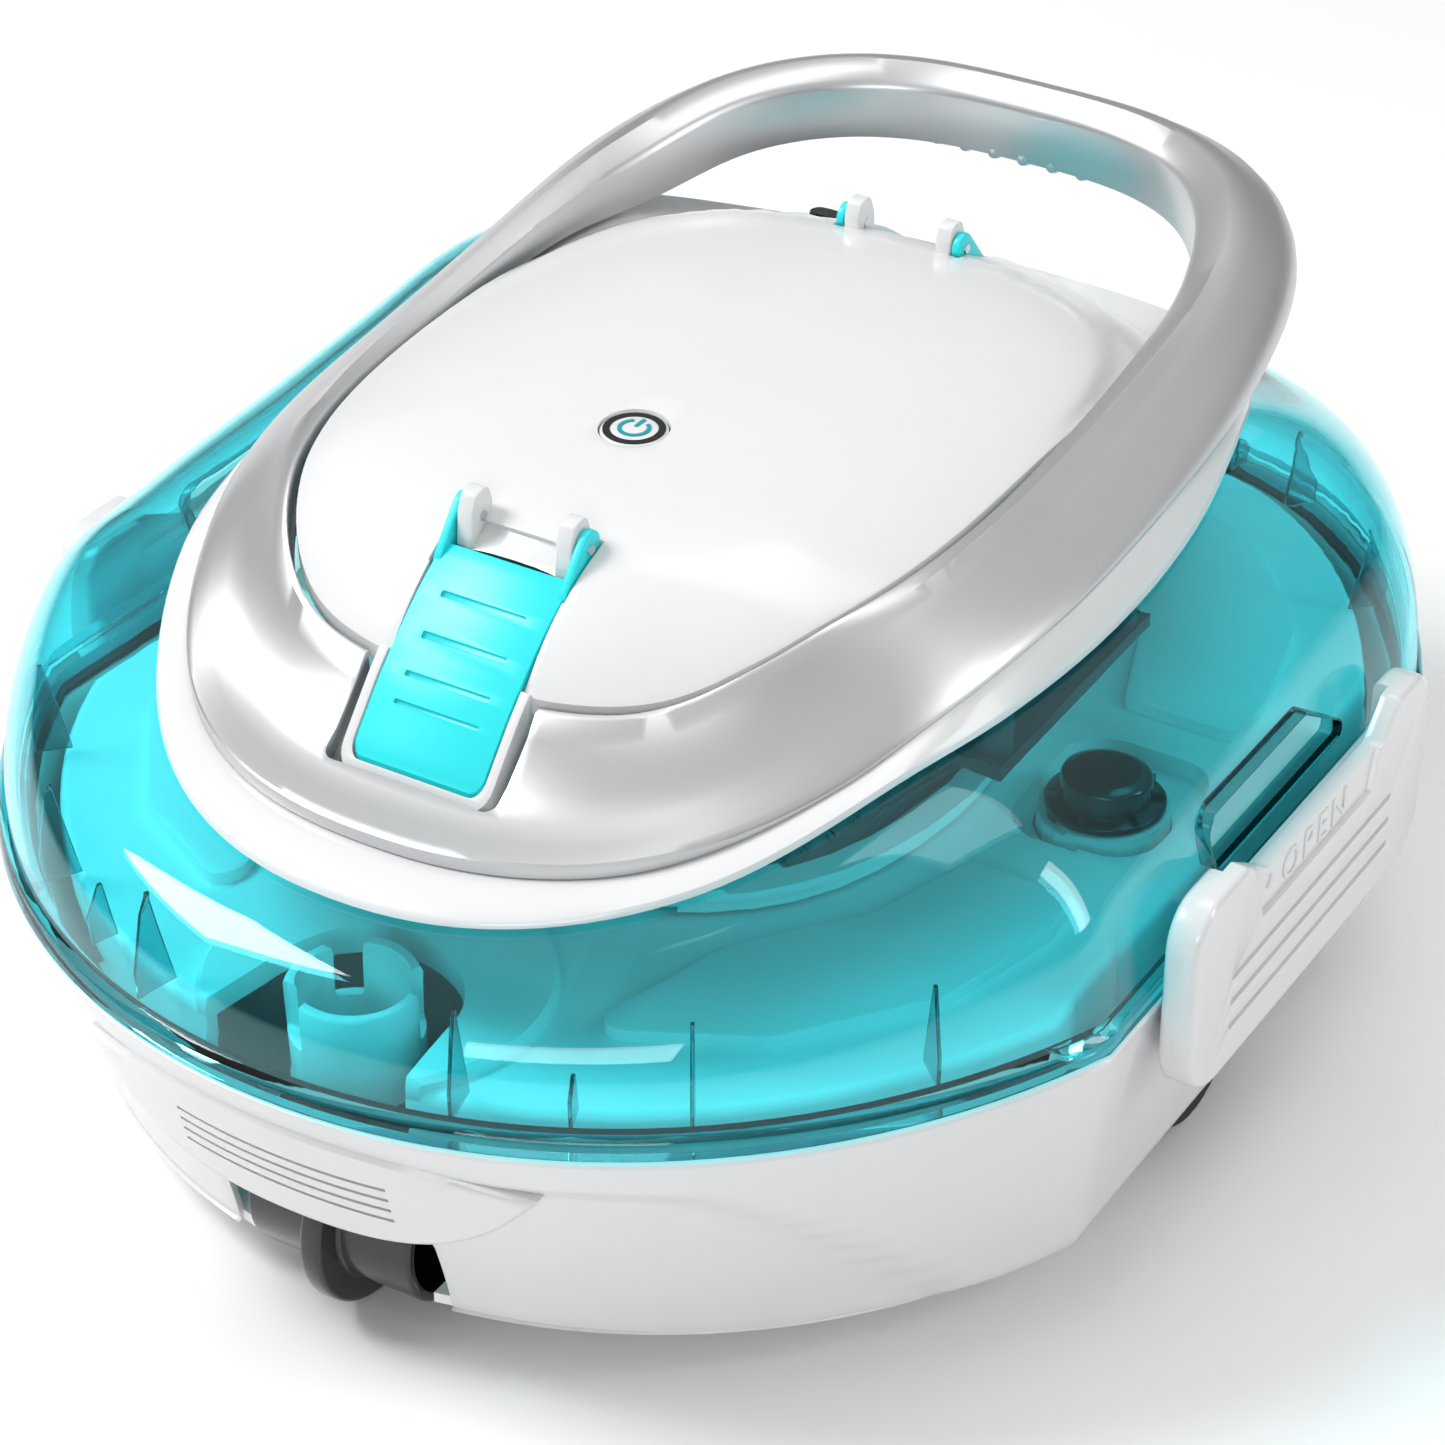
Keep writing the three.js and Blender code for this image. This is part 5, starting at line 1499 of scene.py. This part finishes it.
class CLEANER_OT_trim(bpy.types.Operator):
    """Model the white trim ring."""

    bl_idname = "cleaner.trim"
    bl_label = "Trim Ring"
    bl_options = UNDOABLE

    def execute(self, context):
        model_trim()
        return {"FINISHED"}


class CLEANER_OT_handle(bpy.types.Operator):
    """Model the grey handle ring."""

    bl_idname = "cleaner.handle"
    bl_label = "Handle Ring"
    bl_options = UNDOABLE

    def execute(self, context):
        model_handle()
        return {"FINISHED"}


class CLEANER_OT_lid(bpy.types.Operator):
    """Model the white top lid."""

    bl_idname = "cleaner.lid"
    bl_label = "Top Lid"
    bl_options = UNDOABLE

    def execute(self, context):
        model_lid()
        return {"FINISHED"}


class CLEANER_OT_flaps(bpy.types.Operator):
    """Model the front and rear outlet flaps."""

    bl_idname = "cleaner.flaps"
    bl_label = "Outlet Flaps"
    bl_options = UNDOABLE

    def execute(self, context):
        for way in (-1, 1):
            model_flap(way)
        return {"FINISHED"}


class CLEANER_OT_button(bpy.types.Operator):
    """Model the power button."""

    bl_idname = "cleaner.button"
    bl_label = "Power Button"
    bl_options = UNDOABLE

    def execute(self, context):
        model_button()
        return {"FINISHED"}


class CLEANER_OT_stage(bpy.types.Operator):
    """Build the floor, the lights and the camera."""

    bl_idname = "cleaner.stage"
    bl_label = "Stage"
    bl_options = UNDOABLE

    def execute(self, context):
        make_stage()
        return {"FINISHED"}


STEPS = [
    CLEANER_OT_finishes, CLEANER_OT_base_shell, CLEANER_OT_bumpers, CLEANER_OT_deck,
    CLEANER_OT_rollers, CLEANER_OT_wheels, CLEANER_OT_valves, CLEANER_OT_latches,
    CLEANER_OT_clear_shell, CLEANER_OT_trim, CLEANER_OT_handle, CLEANER_OT_lid, CLEANER_OT_flaps,
    CLEANER_OT_button, CLEANER_OT_stage,
]


class CLEANER_PT_panel(bpy.types.Panel):
    """Sidebar panel that lists the modelling steps."""

    bl_label = "Pool Cleaner"
    bl_idname = "CLEANER_PT_panel"
    bl_space_type = "VIEW_3D"
    bl_region_type = "UI"
    bl_category = "Pool Cleaner"

    def draw(self, context):
        for cls in STEPS:
            self.layout.operator(cls.bl_idname)
        for settings in (context.scene.cleaner_sizes, context.scene.cleaner_colours):
            column = self.layout.column(align=True)
            for key in settings.__annotations__:
                column.prop(settings, key)


CLASSES = [CleanerSizes, CleanerColours, *STEPS, CLEANER_PT_panel]


def register():
    """Register the classes and the scene settings."""
    for cls in CLASSES:
        bpy.utils.register_class(cls)
    bpy.types.Scene.cleaner_sizes = bpy.props.PointerProperty(type=CleanerSizes)
    bpy.types.Scene.cleaner_colours = bpy.props.PointerProperty(type=CleanerColours)


def unregister():
    """Remove the scene settings and the classes."""
    del bpy.types.Scene.cleaner_colours
    del bpy.types.Scene.cleaner_sizes
    for cls in reversed(CLASSES):
        bpy.utils.unregister_class(cls)


def main():
    """Model the cleaner step by step."""
    register()
    for cls in STEPS:
        getattr(bpy.ops.cleaner, cls.bl_idname.split(".")[1])()


if __name__ == "__main__":
    main()
